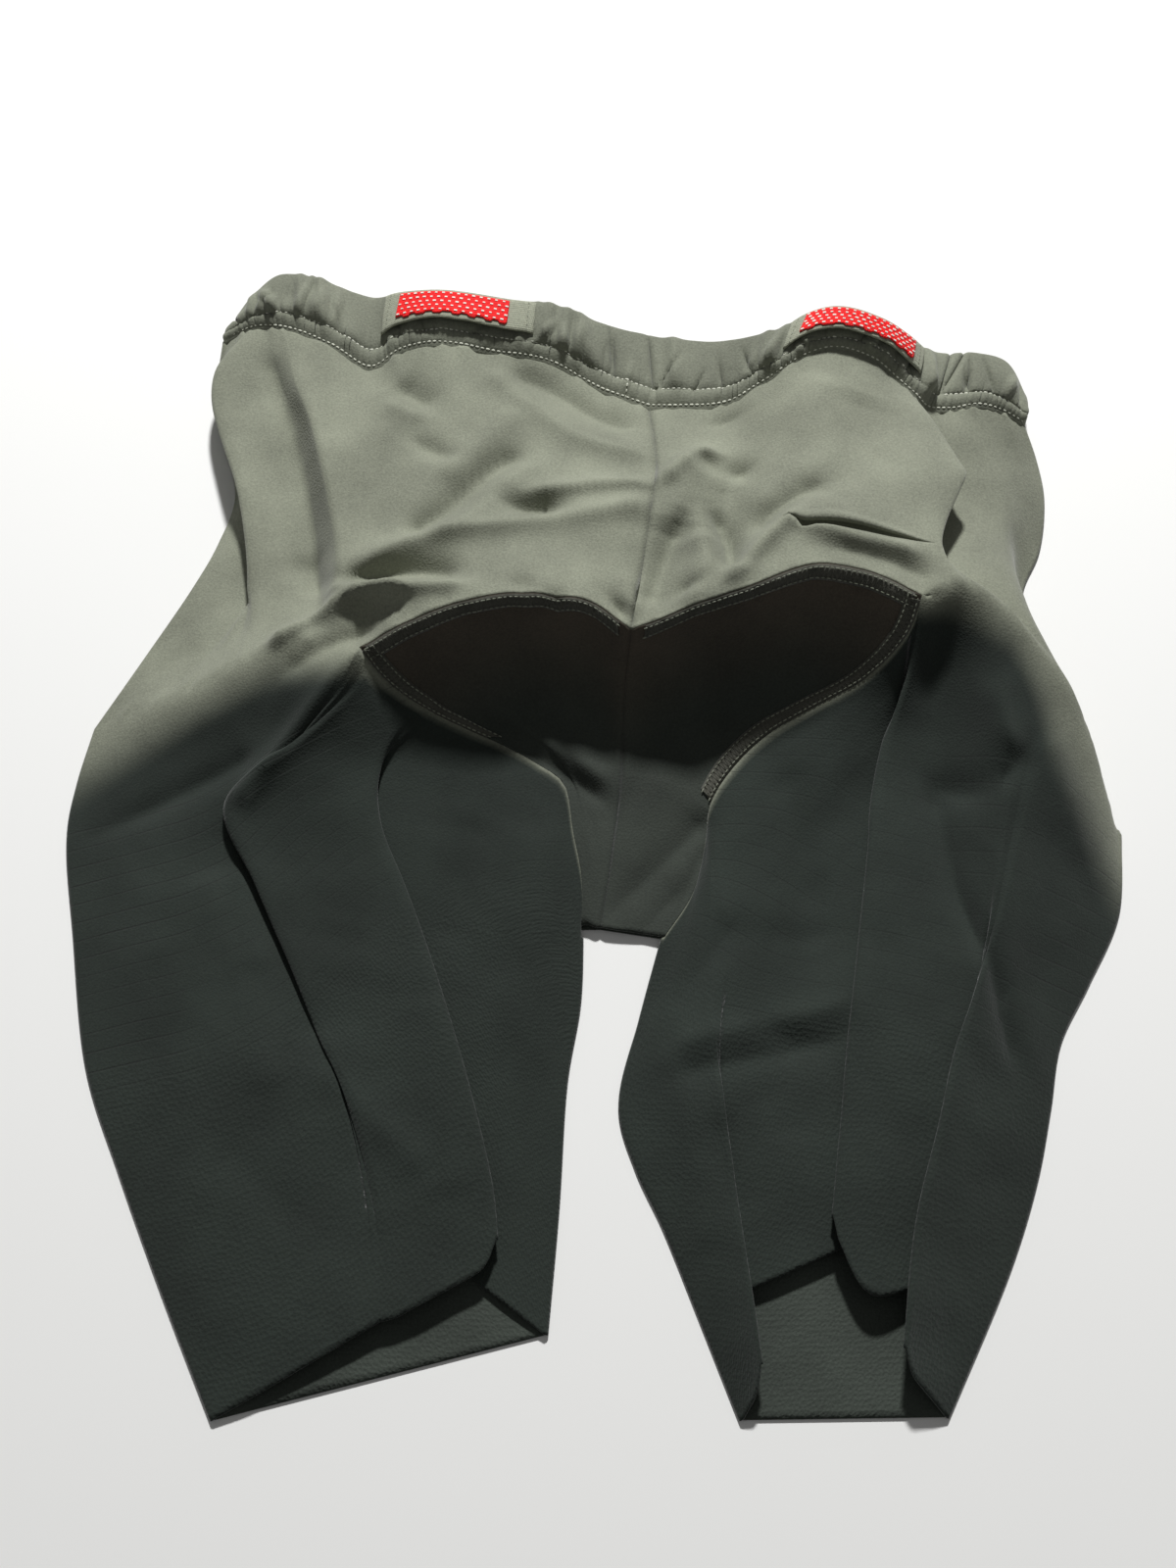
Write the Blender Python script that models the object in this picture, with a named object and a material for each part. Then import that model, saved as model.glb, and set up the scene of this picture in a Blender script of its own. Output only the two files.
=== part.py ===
"""Triathlon shorts laid on a table with the seat side up, waist at +Y and hems at -Y.

Sizes are in millimetres and become metres when a mesh is made. Each panel is a thin wall on a surface
lofted between lines that run down the garment: side edges, seams, soft crests and edges of folds.
"""

import bpy
import numpy as np

MM = 0.001

CLOTH = 1.1            # wall of the knitted cloth, with its own stiffness
CASING = 2.2           # wall of the waist casing with the elastic in it
WEBBING = 1.2          # wall of the loops on the waistband
PATCH = 1.0            # wall of the woven red patches
SEAM_GAP = 0.3         # between two pieces that are sewn together
FOLD_GAP = 2.6         # from layer to layer where cloth is folded on itself
EDGE = 1.95            # height of the back panels' side edges, just above the front panels
SHIFT = (-2.67, 8.89)   # brings the middle of the outline to the origin

# Seams and edges that two panels share. Columns: across (x), along (y), height (z).
WAIST_SEAM_LEFT = [
    (-158, 205, 8), (-144, 207, 15), (-127, 203, 18), (-110, 195, 18), (-93, 185, 16), (-80, 190, 22),
    (-62, 190, 28), (-40, 187, 26), (-17, 184, 24), (7, 170, 22), (26, 162, 22),
]
WAIST_SEAM_RIGHT = [
    (186, 164, 7), (176, 167, 12), (166, 168, 14), (155, 166, 14), (144, 165, 17), (137, 167, 25),
    (129, 172, 30), (119, 178, 35), (104, 181, 38), (91, 179, 35), (74, 170, 30), (58, 162, 25), (26, 162, 22),
]
WAIST_TOP = [
    (-152, 214, 9), (-144, 224, 16), (-134, 230, 20), (-115, 227, 20), (-94, 219, 19), (-80, 218, 24),
    (-59, 214, 30), (-34, 211, 29), (-17, 210, 27), (8, 201, 25), (30, 195, 25), (54, 192, 26), (79, 193, 32),
    (95, 198, 38), (107, 198, 42), (122, 195, 39), (133, 192, 32), (143, 191, 22), (154, 192, 17),
    (167, 193, 16), (179, 190, 14), (188, 178, 7),
]
CREST_LEFT = [(-200, 23, EDGE), (-180, 27, 12), (-157, 33, 23), (-128, 42, 36), (-107, 43, 43), (-90, 40, 42)]
CREST_RIGHT = [
    (212, -23, EDGE), (203, 7, 16), (192, 30, 30), (179, 46, 40), (166, 59, 46), (148, 64, 52), (131, 59, 52),
]
SADDLE_TOP_LEFT = [(-90, 40, 42), (-73, 47, 50), (-50, 53, 58), (-23, 57, 59), (0, 55, 55), (17, 45, 50)]
SADDLE_TOP_RIGHT = [(131, 59, 52), (109, 66, 60), (88, 67, 63), (61, 58, 60), (38, 51, 55), (17, 45, 50)]
SADDLE_SIDE_LEFT = [
    (-90, 40, 42), (-78, 30, 31), (-62, 22, 22), (-47, 16, 17), (-33, 11, 13), (-20, 4, 11), (-10, -3, 9),
    (-6, -23, 6), (-2, -45, 4), (-3, -61, 3),
]
SADDLE_SIDE_RIGHT = [
    (131, 59, 52), (126, 47, 42), (111, 34, 30), (90, 24, 22), (74, 16, 17), (59, 3, 13), (49, -12, 10),
    (47, -26, 7), (42, -47, 4), (30, -66, 3),
]
CENTRE_BACK = [(26, 162, 22), (28, 128, 36), (24, 90, 47), (17, 45, 50)]
CENTRE_SADDLE = [(17, 45, 50), (15, 34, 30), (14, 18, 17), (13, -5, 11), (9, -36, 6), (5, -62, 4)]

# Outlines on the table. Columns: across (x), along (y).
OUTER_LEFT = [
    (-200, 23), (-205, -1), (-207, -22), (-201, -63), (-191, -118), (-176, -156), (-157, -200), (-135, -248),
]
OUTER_RIGHT = [
    (212, -23), (208, -55), (194, -83), (181, -107), (175, -133), (168, -160), (156, -192), (129, -247),
]
SIDE_LEFT = [(-157, 187), (-159, 168), (-149, 132), (-155, 108), (-164, 88), (-182, 55), (-200, 23)]
SIDE_RIGHT = [(187, 152), (193, 130), (189, 106), (181, 88), (179, 65), (188, 34), (202, 3), (212, -23)]
INNER_LEFT = [(-3, -61), (-4, -91), (-9, -122), (-12, -171), (-16, -218)]
INNER_RIGHT = [(30, -66), (21, -99), (13, -133), (19, -156), (29, -178), (43, -214), (56, -248)]
FRONT_TOP = [(-152, 214), (-100, 210), (-40, 204), (30, 193), (100, 190), (150, 186), (188, 178)]
FRONT_SEAM = [
    (-156, 208), (-130, 192), (-100, 184), (-40, 177), (30, 166), (100, 163), (150, 160), (174, 160), (187, 161),
]

# Lines down each panel, from the outer side to the centre.
# soft and crease: kind, cells to the next line, share of the upper seam, points (x, y, z).
# pleat: kind, cells to the next line, shares of its four columns, points of the visible edge, way that the
# edge faces (-1 to the outer side, 1 to the centre), tuck and drop at four stations down it, and the share
# of its length by which the hidden turn ends short of the edge. A tuck below zero is cloth spread open.
SEAT_LEFT = [
    ("soft", 2, 0.0, [(-158, 205, 8), (-160, 188, 3), (-159, 168, EDGE), (-149, 132, EDGE), (-155, 108, EDGE),
                      (-164, 88, EDGE), (-182, 55, EDGE), (-200, 23, EDGE)]),
    ("pleat", 1, (0.03, 0.045, 0.06, 0.075),
     [(-157, 200, 12), (-162, 183, 15), (-155, 155, 18), (-145, 125, 21), (-139, 95, 21), (-134, 64, 23),
      (-131, 52, 29), (-128, 42, 36)], -1, (1, 8, 9, -14), (5, 9, 8, 1), 0),
    ("soft", 1, 0.11, [(-139, 202, 17), (-132, 178, 18), (-124, 157, 19), (-116, 118, 21), (-110, 79, 27),
                       (-112, 45, 42)]),
    ("crease", 1, 0.15, [(-132, 200, 18), (-124, 175, 24), (-116, 154, 29), (-106, 114, 34), (-99, 76, 38),
                         (-101, 43, 43)]),
    ("soft", 2, 0.31, [(-99, 189, 17), (-95, 154, 26), (-91, 107, 34), (-88, 71, 40), (-90, 40, 42)]),
    ("soft", 2, 0.46, [(-71, 190, 25), (-69, 146, 32), (-67, 104, 40), (-60, 50, 55)]),
    ("soft", 2, 0.71, [(-23, 184, 25), (-21, 133, 36), (-20, 90, 48), (-22, 57, 59)]),
    ("soft", 0, 1.0, CENTRE_BACK),
]
LEG_LEFT = [
    ("soft", 4, 0.0, [(-200, 23, EDGE), (-205, -1, EDGE), (-207, -22, EDGE), (-201, -63, EDGE),
                      (-191, -118, EDGE), (-176, -156, EDGE), (-157, -200, EDGE), (-135, -248, EDGE)]),
    ("soft", 4, 0.0, [(-148, 36, 27), (-153, 20, 21), (-159, 4, 14), (-165, -22, 10), (-168, -77, 8),
                      (-160, -131, 6), (-145, -189, 5), (-122, -241, 4)]),
    ("pleat", 2, (0.0, 0.02, 0.04, 0.06),
     [(-90, 40, 42), (-98, 26, 38), (-119, 5, 28), (-142, -16, 17), (-129, -46, 12), (-114, -79, 10),
      (-101, -110, 9), (-93, -127, 8), (-82, -161, 7), (-70, -213, 8)],
     -1, (-12, 14, 1, -6), (3, 7.5, 3, 0.6), 0),
    ("pleat", 2, (0.20, 0.22, 0.24, 0.26),
     [(-70, 24, 26), (-84, 0, 19), (-84, -20, 16), (-73, -48, 13), (-65, -69, 12), (-53, -105, 11),
      (-44, -136, 11), (-37, -165, 10), (-33, -193, 9.5)],
     1, (-4, 13, 15, 14), (2, 7, 6.6, 6.2), 0),
    ("soft", 2, 0.58, [(-18, 2, 11), (-26, -40, 9), (-30, -100, 5.5), (-28, -150, 3.5), (-24, -212, 3)]),
    ("soft", 0, 1.0, [(-3, -61, 3), (-4, -91, EDGE), (-9, -122, EDGE), (-12, -171, EDGE), (-16, -218, EDGE)]),
]
SEAT_RIGHT = [
    ("soft", 3, 0.0, [(186, 164, 7), (191, 148, 3), (193, 130, EDGE), (189, 106, EDGE), (181, 88, EDGE),
                      (179, 65, EDGE), (188, 34, EDGE), (202, 3, EDGE), (212, -23, EDGE)]),
    ("soft", 2, 0.15, [(163, 168, 13), (171, 137, 14), (172, 102, 18), (172, 71, 32), (185, 39, 36)]),
    ("pleat", 2, (0.26, 0.28, 0.30, 0.32),
     [(137, 167, 26), (144, 147, 33), (151, 127, 38), (153, 122, 39), (150, 114, 41), (143, 98, 45),
      (136, 80, 50), (131, 59, 52)],
     -1, (3, 15, 14, 1), (8, 21, 20, 6), 0),
    ("soft", 2, 0.46, [(104, 181, 38), (101, 137, 46), (90, 91, 59), (98, 67, 62)]),
    ("soft", 2, 0.74, [(58, 162, 25), (58, 123, 38), (54, 80, 50), (56, 56, 59)]),
    ("soft", 0, 1.0, CENTRE_BACK),
]
LEG_RIGHT = [
    ("soft", 3, 0.0, [(212, -23, EDGE), (208, -55, EDGE), (194, -83, EDGE), (181, -107, EDGE),
                      (175, -133, EDGE), (168, -160, EDGE), (156, -192, EDGE), (129, -247, EDGE)]),
    ("pleat", 1, (0.0, 0.0, 0.0, 0.0),
     [(182, 43, 39), (176, 10, 33), (168, -30, 24), (159, -62, 20), (148, -91, 18.5), (139, -117, 18),
      (132, -144, 17.8), (123, -174, 17.6), (118, -200, 17.4), (113, -231, 17)],
     1, (-12, -8, 7, 6), (0.8, 1, 5, 5.4), 0.11),
    ("soft", 1, 0.0, [(150, 63, 51), (140, 36, 26), (138, 8, 16), (139, -13, 14), (143, -45, 13.4),
                      (142, -80, 13), (128, -114, 12.6), (116, -150, 12.3), (103, -205, 12)]),
    ("pleat", 3, (0.0, 0.02, 0.04, 0.06),
     [(131, 59, 52), (128, 38, 35), (119, 12, 21), (113, -15, 17.5), (111, -35, 16), (106, -71, 14),
      (100, -112, 13), (96, -144, 12.6), (90, -181, 12.3)],
     1, (-14, 10, 14, 14), (3, 7.5, 6, 5.6), 0),
    ("pleat", 3, (0.66, 0.68, 0.70, 0.72),
     [(50, -20, 12), (48, -70, 11), (48, -105, 11), (51, -134, 12), (54, -167, 12), (59, -206, 12.1),
      (63, -236, 12)],
     -1, (-8, -6, 4, 4), (0.8, 1, 3.2, 3.4), 0.15),
    ("soft", 0, 1.0, [(30, -66, 3), (21, -99, EDGE), (13, -133, EDGE), (19, -156, EDGE), (29, -178, EDGE),
                      (43, -214, EDGE), (56, -248, EDGE)]),
]
# Saddle: cells to the next line, points.
SADDLE_LEFT = [
    (1, SADDLE_SIDE_LEFT),
    (2, [(-72, 47, 50), (-64, 38, 36), (-50, 28, 22), (-32, 19, 14), (-13, 8, 10), (-4, -22, 6.4), (-1, -61, 3.2)]),
    (2, [(-36, 56, 58), (-33, 47, 40), (-27, 34, 23), (-16, 18, 13), (-4, -4, 9), (1, -32, 6.4), (0, -61, 3.4)]),
    (1, [(-1, 55, 55), (1, 46, 36), (3, 30, 17), (4, -4, 10.5), (5, -34, 6.5), (3, -62, 3.8)]),
    (0, CENTRE_SADDLE),
]
SADDLE_RIGHT = [
    (1, SADDLE_SIDE_RIGHT),
    (2, [(111, 65, 59), (108, 50, 44), (98, 38, 29), (76, 27, 20), (51, 12, 13), (41, -16, 8.6), (36, -44, 4.6),
         (25, -65, 3)]),
    (2, [(73, 62, 61), (73, 50, 40), (66, 36, 24), (50, 19, 14), (36, -8, 10), (28, -36, 6), (18, -64, 3.2)]),
    (1, [(35, 50, 54), (34, 42, 34), (32, 26, 16), (28, -6, 11), (20, -33, 7), (10, -63, 3.6)]),
    (0, CENTRE_SADDLE),
]
# Ridges and troughs that a hand has left in the lying cloth. Columns: start (x, y), end (x, y), half width,
# height, below zero for a trough.
FOLDS = [
    (-50, 188, 16, 154, 8, -4.0),
    (-41, 145, -84, 107, 9, -4.0),
    (-79, 85, 8, 99, 10, 4.0),
    (-100, 67, -35, 68, 9, -3.0),
    (39, 94, 61, 59, 9, 3.0),
    (47, 99, 23, 80, 8, -4.0),
    (82, 90, 133, 79, 8, 5.0),
    (87, 79, 131, 69, 6, -4.0),
    (-105, 34, -155, -3, 12, -5.0),
    (153, 11, 170, -12, 11, -6.0),
    (139, 56, 148, 26, 9, 4.0),
]
# Loops on the waistband. Columns: name, shares of the waistband's back where the loop starts and ends, and
# where its patch starts and ends.
LOOPS = [("left", 0.207, 0.380, 0.228, 0.350), ("right", 0.684, 0.850, 0.704, 0.830)]
GATHERS = 44           # across the back of the waistband
GATHER_HEIGHT = 1.1
BACK_STATIONS = 132    # three to a gather
FRONT_STATIONS = 24


def curve(points, fine=24):
    """A smooth curve through the points, as many short chords."""
    p = np.array(points, float)
    t = np.concatenate([[0], np.cumsum(np.sqrt(np.linalg.norm(np.diff(p, axis=0), axis=1)))])
    slope = np.gradient(p, t, axis=0)
    s = np.linspace(0, 1, fine, endpoint=False)[:, None]
    out = []
    for k in range(len(p) - 1):
        h = t[k + 1] - t[k]
        out.append((2 * s**3 - 3 * s**2 + 1) * p[k] + (s**3 - 2 * s**2 + s) * h * slope[k]
                   + (3 * s**2 - 2 * s**3) * p[k + 1] + (s**3 - s**2) * h * slope[k + 1])
    out.append(p[-1:])
    return np.concatenate(out)


def along(line, shares):
    """The points at these shares of a chain's length."""
    run = np.concatenate([[0], np.cumsum(np.linalg.norm(np.diff(line, axis=0), axis=1))])
    at = np.asarray(shares) * run[-1]
    return np.stack([np.interp(at, run, line[:, k]) for k in range(line.shape[1])], axis=1)


def spread(values, cells):
    """Values at every column, evenly spaced between those at the lines."""
    out = [values[0]]
    for k, count in enumerate(cells):
        out += [values[k] + (values[k + 1] - values[k]) * (i + 1) / count for i in range(count)]
    return np.array(out)


def lines_of(table, rows, outer):
    """Every line of a panel at its rows, with a pleat as four lines; also cells and shares."""
    at = np.linspace(0, 1, rows + 1)
    up = np.array([0, 0, 1.0])
    plain = [along(curve(row[3]), at) for row in table]
    lines, cells, shares, creased = [], [], [], []
    for k, row in enumerate(table):
        line = plain[k]
        if row[0] != "pleat":
            lines.append(line)
            cells.append(row[1])
            shares.append(row[2])
            creased.append(row[0] == "crease")
            continue
        run = np.gradient(line, axis=0)
        across = np.stack([-run[:, 1], run[:, 0], 0 * run[:, 0]], axis=1)
        across *= (np.sign(across[:, 0]) * outer / np.linalg.norm(across, axis=1))[:, None]
        for _ in range(max(1, round((rows / 20) ** 2))):
            across[1:-1] = (across[:-2] + across[1:-1] + across[2:]) / 3
        across /= np.linalg.norm(across, axis=1)[:, None]
        tuck = np.interp(at, [0, 1 / 3, 2 / 3, 1], row[5])[:, None]
        drop = np.interp(at, [0, 1 / 3, 2 / 3, 1], row[6])[:, None]
        layer = np.minimum(FOLD_GAP, drop / 2)
        # A shallow pleat's layers lie along the cloth, and its turn falls with the layer over it.
        along_cloth = np.cross(run, across)
        along_cloth *= np.sign(along_cloth[:, 2:]) / np.linalg.norm(along_cloth, axis=1)[:, None]
        down = up if drop.max() > 8 else along_cloth
        cover = plain[k - 1] if row[4] > 0 else plain[k + 1]
        steep = (line - cover)[:, 2] / np.linalg.norm((line - cover)[:, :2], axis=1)
        fall = up * np.clip(steep, 0, 1)[:, None] * np.clip(tuck, 0, None)
        turn = along(curve(row[3]), at * (1 - row[7])) + row[4] * across * tuck - fall
        open_by = np.clip(-tuck / 6, 0, 1) / 3
        step = (line - turn) * [1, 1, 0] * open_by
        four = [turn - down * drop, turn + step - down * (drop - layer), line - step - down * layer, line]
        lines += four if row[4] < 0 else four[::-1]
        cells += [1, 1, 1, row[1]]
        shares += list(row[2])
        creased += [True] * 4
    return lines, cells[:-1], shares, creased


def across_rows(lines, cells, creased):
    """A grid of points: each row passes smoothly through its lines, with a break at a crease."""
    grid = []
    for row in np.stack(lines, axis=1):
        points = [row[:1]]
        chord = np.linalg.norm(np.diff(row, axis=0), axis=1) + 1e-6
        slope = np.diff(row, axis=0) / chord[:, None]
        for k, count in enumerate(cells):
            first = slope[k] if k == 0 or creased[k] else (slope[k - 1] + slope[k]) / 2
            last = slope[k] if k + 1 == len(cells) or creased[k + 1] else (slope[k] + slope[k + 1]) / 2
            s = (np.arange(count) + 1)[:, None] / count
            points.append((2 * s**3 - 3 * s**2 + 1) * row[k] + (s**3 - 2 * s**2 + s) * chord[k] * first
                          + (3 * s**2 - 2 * s**3) * row[k + 1] + (s**3 - s**2) * chord[k] * last)
        grid.append(np.concatenate(points))
    return np.array(grid)


def settle(grid, target, reach):
    """Brings the grid's first row to the target, and the rows after it less and less."""
    v = np.linspace(0, 1, len(grid))
    weight = np.clip(1 - v / reach, 0, 1) ** 2
    return grid + weight[:, None, None] * (target - grid[0])


def relief(points):
    """The points with the ridges and troughs added, the same for every panel and layer at a place."""
    out = points.copy()
    for x0, y0, x1, y1, width, height in FOLDS:
        start, run = np.array([x0, y0]), np.array([x1 - x0, y1 - y0])
        long = np.linalg.norm(run)
        share = (points[..., :2] - start) @ run / long**2
        on_line = start + np.clip(share, 0, 1)[..., None] * run
        away = np.linalg.norm(points[..., :2] - on_line, axis=-1)
        ends = np.clip(np.minimum(share, 1 - share) * 3 + 0.6, 0, 1)
        out[..., 2] += height * ends * np.exp(-((away / width) ** 2)) * np.clip((points[..., 2] - EDGE) / 8, 0, 1)
    out[..., 2] = np.maximum(out[..., 2], EDGE)
    return out


def back_panel(seat, leg, waist, crest, top, side, outer, rows):
    """Seat and leg as one sheet: they share their columns from the outer side to the saddle's corner."""
    count = 8
    lines, cells, shares, creased = lines_of(seat, rows[0], outer)
    upper = across_rows(lines, cells, creased)
    upper = settle(upper, along(curve(waist), spread(shares, cells)), 0.25)
    crest_points = along(curve(crest), np.linspace(0, 1, count + 1))
    top_points = along(curve(top), np.linspace(0, 1, 7))
    upper = settle(upper[::-1], np.concatenate([crest_points, top_points[1:]]), 0.4)[::-1]
    lines, cells, shares, creased = lines_of(leg, rows[1], outer)
    lower = across_rows(lines, cells, creased)
    side_shares = spread(shares, cells)[count:]
    side_points = along(curve(side), side_shares)
    lower = settle(lower, np.concatenate([crest_points, side_points[1:]]), 0.3)
    # The shared columns run on over the crest, so they are smoothed along their whole length.
    whole = np.concatenate([upper[:-1, 1:count], lower[:, 1:count]])
    for _ in range(2):
        near = np.clip(1 - np.abs(np.arange(len(whole)) - rows[0]) / 2, 0, 1)[1:-1, None, None]
        whole[1:-1] += near * 0.5 * ((whole[:-2] + whole[2:]) / 2 - whole[1:-1])
    upper[:, 1:count] = whole[: rows[0] + 1]
    lower[:, 1:count] = whole[rows[0]:]
    return upper, lower, side_shares


def saddle_panel(table, top, side_shares):
    """The saddle's rows run from the side seam to the centre seam."""
    lines, cells = [], []
    last = len(side_shares) - 1
    total = sum(row[0] for row in table)
    done = 0
    for count, points in table:
        w = done / total
        share = (1 - w) * side_shares + w * np.linspace(0, 1, last + 1)
        lines.append(along(curve(points), share))
        cells.append(count)
        done += count
    grid = across_rows(lines, cells[:-1], [False] * len(lines))
    return settle(grid, along(curve(top), np.linspace(0, 1, total + 1)), 0.5)


def sheet_of(grids, flip):
    """Grids as one sheet of points and faces, with points that coincide made one."""
    points, faces, start = [], [], 0
    for grid in grids:
        rows, columns = grid.shape[:2]
        at = np.arange(rows * columns).reshape(rows, columns) + start
        quads = np.stack([at[:-1, :-1], at[1:, :-1], at[1:, 1:], at[:-1, 1:]], axis=-1).reshape(-1, 4)
        points.append(grid.reshape(-1, 3))
        faces.append(quads[:, ::-1] if flip else quads)
        start += rows * columns
    points = np.concatenate(points)
    _, first, index = np.unique(np.round(points, 3), axis=0, return_index=True, return_inverse=True)
    return points[first], index.reshape(-1)[np.concatenate(faces)]


def face_normals(points, faces):
    """Unit normals of the faces."""
    p = points[faces]
    normals = np.cross(p[:, 2] - p[:, 0], p[:, 3] - p[:, 1])
    return normals / (np.linalg.norm(normals, axis=1)[:, None] + 1e-12)


def normals_of(points, faces):
    """Unit normals at the points, each face at a point counting the same."""
    normals = np.zeros_like(points)
    for k in range(4):
        np.add.at(normals, faces[:, k], face_normals(points, faces))
    return normals / (np.linalg.norm(normals, axis=1)[:, None] + 1e-12)


def rim_of(faces):
    """The edges that only one face has, each in that face's direction."""
    edges = np.concatenate([faces[:, [k, (k + 1) % 4]] for k in range(4)])
    edges = edges[edges[:, 0] != edges[:, 1]]
    seen = {(a, b) for a, b in edges.tolist()}
    return np.array([(a, b) for a, b in edges.tolist() if (b, a) not in seen])


def trimmed(points, faces, normals, by):
    """The sheet's rim drawn in along the cloth."""
    rim = rim_of(faces)
    inward = np.zeros_like(points)
    run = points[rim[:, 1]] - points[rim[:, 0]]
    for k in (0, 1):
        np.add.at(inward, rim[:, k], np.cross(normals[rim[:, k]], run))
    long = np.linalg.norm(inward, axis=1)
    drawn = long > 1e-9
    points = points.copy()
    points[drawn] += inward[drawn] / long[drawn, None] * by
    return points


def wall(points, faces, normals, thickness):
    """A closed wall with the sheet in its middle, as thick at a fold's turn as beside it."""
    rim = rim_of(faces)
    count = len(points)
    lean, met = np.zeros(count), np.zeros(count)
    for k in range(4):
        np.add.at(lean, faces[:, k], np.sum(face_normals(points, faces) * normals[faces[:, k]], axis=1))
        np.add.at(met, faces[:, k], 1)
    offset = normals * (thickness / 2 / np.clip(lean / met, 0.88, 1))[:, None]
    top = points + offset
    bottom = points - offset
    all_faces = [f.tolist() for f in faces] + [(f[::-1] + count).tolist() for f in faces]
    all_faces += [[b, a, a + count, b + count] for a, b in rim.tolist()]
    neat = []
    for face in all_faces:
        kept = [face[k] for k in range(4) if face[k] != face[k - 1]]
        if len(kept) > 2:
            neat.append(kept)
    return np.concatenate([top, bottom]), neat


def material(name, color, roughness):
    """A matt material of one colour, given as linear red, green and blue."""
    made = bpy.data.materials.new(name)
    made.use_nodes = True
    shader = made.node_tree.nodes["Principled BSDF"]
    shader.inputs["Base Color"].default_value = (*color, 1.0)
    shader.inputs["Roughness"].default_value = roughness
    shader.inputs["Metallic"].default_value = 0.0
    return made


def add_object(name, points, faces, look):
    """A mesh object with its place in the mesh, in metres."""
    mesh = bpy.data.meshes.new(name)
    placed = (points + [SHIFT[0], SHIFT[1], 0]) * MM
    mesh.from_pydata(placed.tolist(), [], faces)
    mesh.materials.append(look)
    mesh.shade_smooth()
    mesh.set_sharp_from_angle(angle=0.6)
    obj = bpy.data.objects.new(name, mesh)
    shorts.objects.link(obj)


for old in list(bpy.data.objects):
    bpy.data.objects.remove(old)
shorts = bpy.data.collections.new("triathlon shorts")
bpy.context.scene.collection.children.link(shorts)
KNIT = material("stretch knit", (0.070, 0.078, 0.062), 0.85)
CASING_KNIT = material("waist casing", (0.110, 0.115, 0.095), 0.85)
STRAP = material("loop webbing", (0.200, 0.205, 0.165), 0.8)
RED = material("red woven patch", (0.700, 0.010, 0.012), 0.6)

# Back panels and saddle panels: sheets first, so that neighbours can share their normals at a seam.
ROWS = (12, 20)
left = back_panel(SEAT_LEFT, LEG_LEFT, WAIST_SEAM_LEFT, CREST_LEFT, SADDLE_TOP_LEFT, SADDLE_SIDE_LEFT, -1, ROWS)
right = back_panel(SEAT_RIGHT, LEG_RIGHT, WAIST_SEAM_RIGHT, CREST_RIGHT, SADDLE_TOP_RIGHT,
                   SADDLE_SIDE_RIGHT, 1, ROWS)
saddle_left = saddle_panel(SADDLE_LEFT, SADDLE_TOP_LEFT, left[2])
saddle_right = saddle_panel(SADDLE_RIGHT, SADDLE_TOP_RIGHT, right[2])
sheets = {
    "back_left": sheet_of([relief(grid) for grid in left[:2]], False),
    "back_right": sheet_of([relief(grid) for grid in right[:2]], True),
    "saddle_left": sheet_of([relief(saddle_left)], False),
    "saddle_right": sheet_of([relief(saddle_right)], True),
}
own = {name: normals_of(*sheet) for name, sheet in sheets.items()}
for name, (points, faces) in sheets.items():
    normals = own[name].copy()
    rim = np.unique(rim_of(faces))
    for other, (others, other_faces) in sheets.items():
        if other == name:
            continue
        edge = np.unique(rim_of(other_faces))
        away = np.linalg.norm(points[rim][:, None] - others[edge][None], axis=2)
        touching = away.min(axis=1) < 0.5
        normals[rim[touching]] += own[other][edge[away.argmin(axis=1)[touching]]]
    normals /= np.linalg.norm(normals, axis=1)[:, None]
    drawn = trimmed(points, faces, normals, SEAM_GAP / 2)
    add_object(name, *wall(drawn, faces, normals, CLOTH), KNIT)

# Front panels: flat on the table.
CENTRE_FRONT = [(15, 168), (14, 100), (10, 0), (5, -62)]
fronts = (
    ("front_left", SIDE_LEFT + OUTER_LEFT[1:], CENTRE_FRONT, [(-3, -62)] + INNER_LEFT[1:], False),
    ("front_right", SIDE_RIGHT + OUTER_RIGHT[1:], CENTRE_FRONT, INNER_RIGHT, True),
)
front_seams = []
for name, outer, centre, inner, flip in fronts:
    flat = [[(x, y, CLOTH / 2) for x, y in line] for line in (outer, centre, inner)]
    outer_line = along(curve(flat[0]), np.linspace(0, 1, 29))
    centre_part = along(curve(flat[1]), np.linspace(0, 1, 13))
    down = np.concatenate([centre_part, along(curve(flat[2]), np.linspace(0, 1, 16))])
    grid = np.stack([outer_line + (down - outer_line) * k / 4 for k in range(5)], axis=1)
    seam = curve([(x, y, CLOTH / 2) for x, y in FRONT_SEAM])
    grid[0, :, 1] = np.interp(grid[0, :, 0], seam[:, 0], seam[:, 1])
    points, faces = sheet_of([grid], flip)
    normals = np.zeros_like(points) + [0, 0, 1.0]
    add_object(name, *wall(trimmed(points, faces, normals, SEAM_GAP / 2), faces, normals, CLOTH), KNIT)
    front_seams.append(grid[0])

# Waistband: a closed ring, gathered across the back and flat across the front.
seam_back = relief(np.concatenate([left[0][0], right[0][0][-2::-1]]))
top_back = curve(WAIST_TOP)


def band_point(share, height, gathered=1.0):
    """A point of the waistband's back, height 0 at its seam and 1 at its top edge, and the way out."""
    low, high = along(seam_back, [share])[0], along(top_back, [share])[0]
    ahead = along(seam_back, [min(share + 0.004, 1)])[0] - along(seam_back, [max(share - 0.004, 0)])[0]
    out = np.cross(ahead, high - low)
    out /= np.linalg.norm(out)
    fullness = np.sin(np.pi * min(height + 0.15, 1)) ** 0.5
    swell = gathered * GATHER_HEIGHT * np.cos(2 * np.pi * GATHERS * share) * fullness
    return low + (high - low) * height + out * (swell + 1.6 * np.sin(np.pi * height)), out


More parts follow.
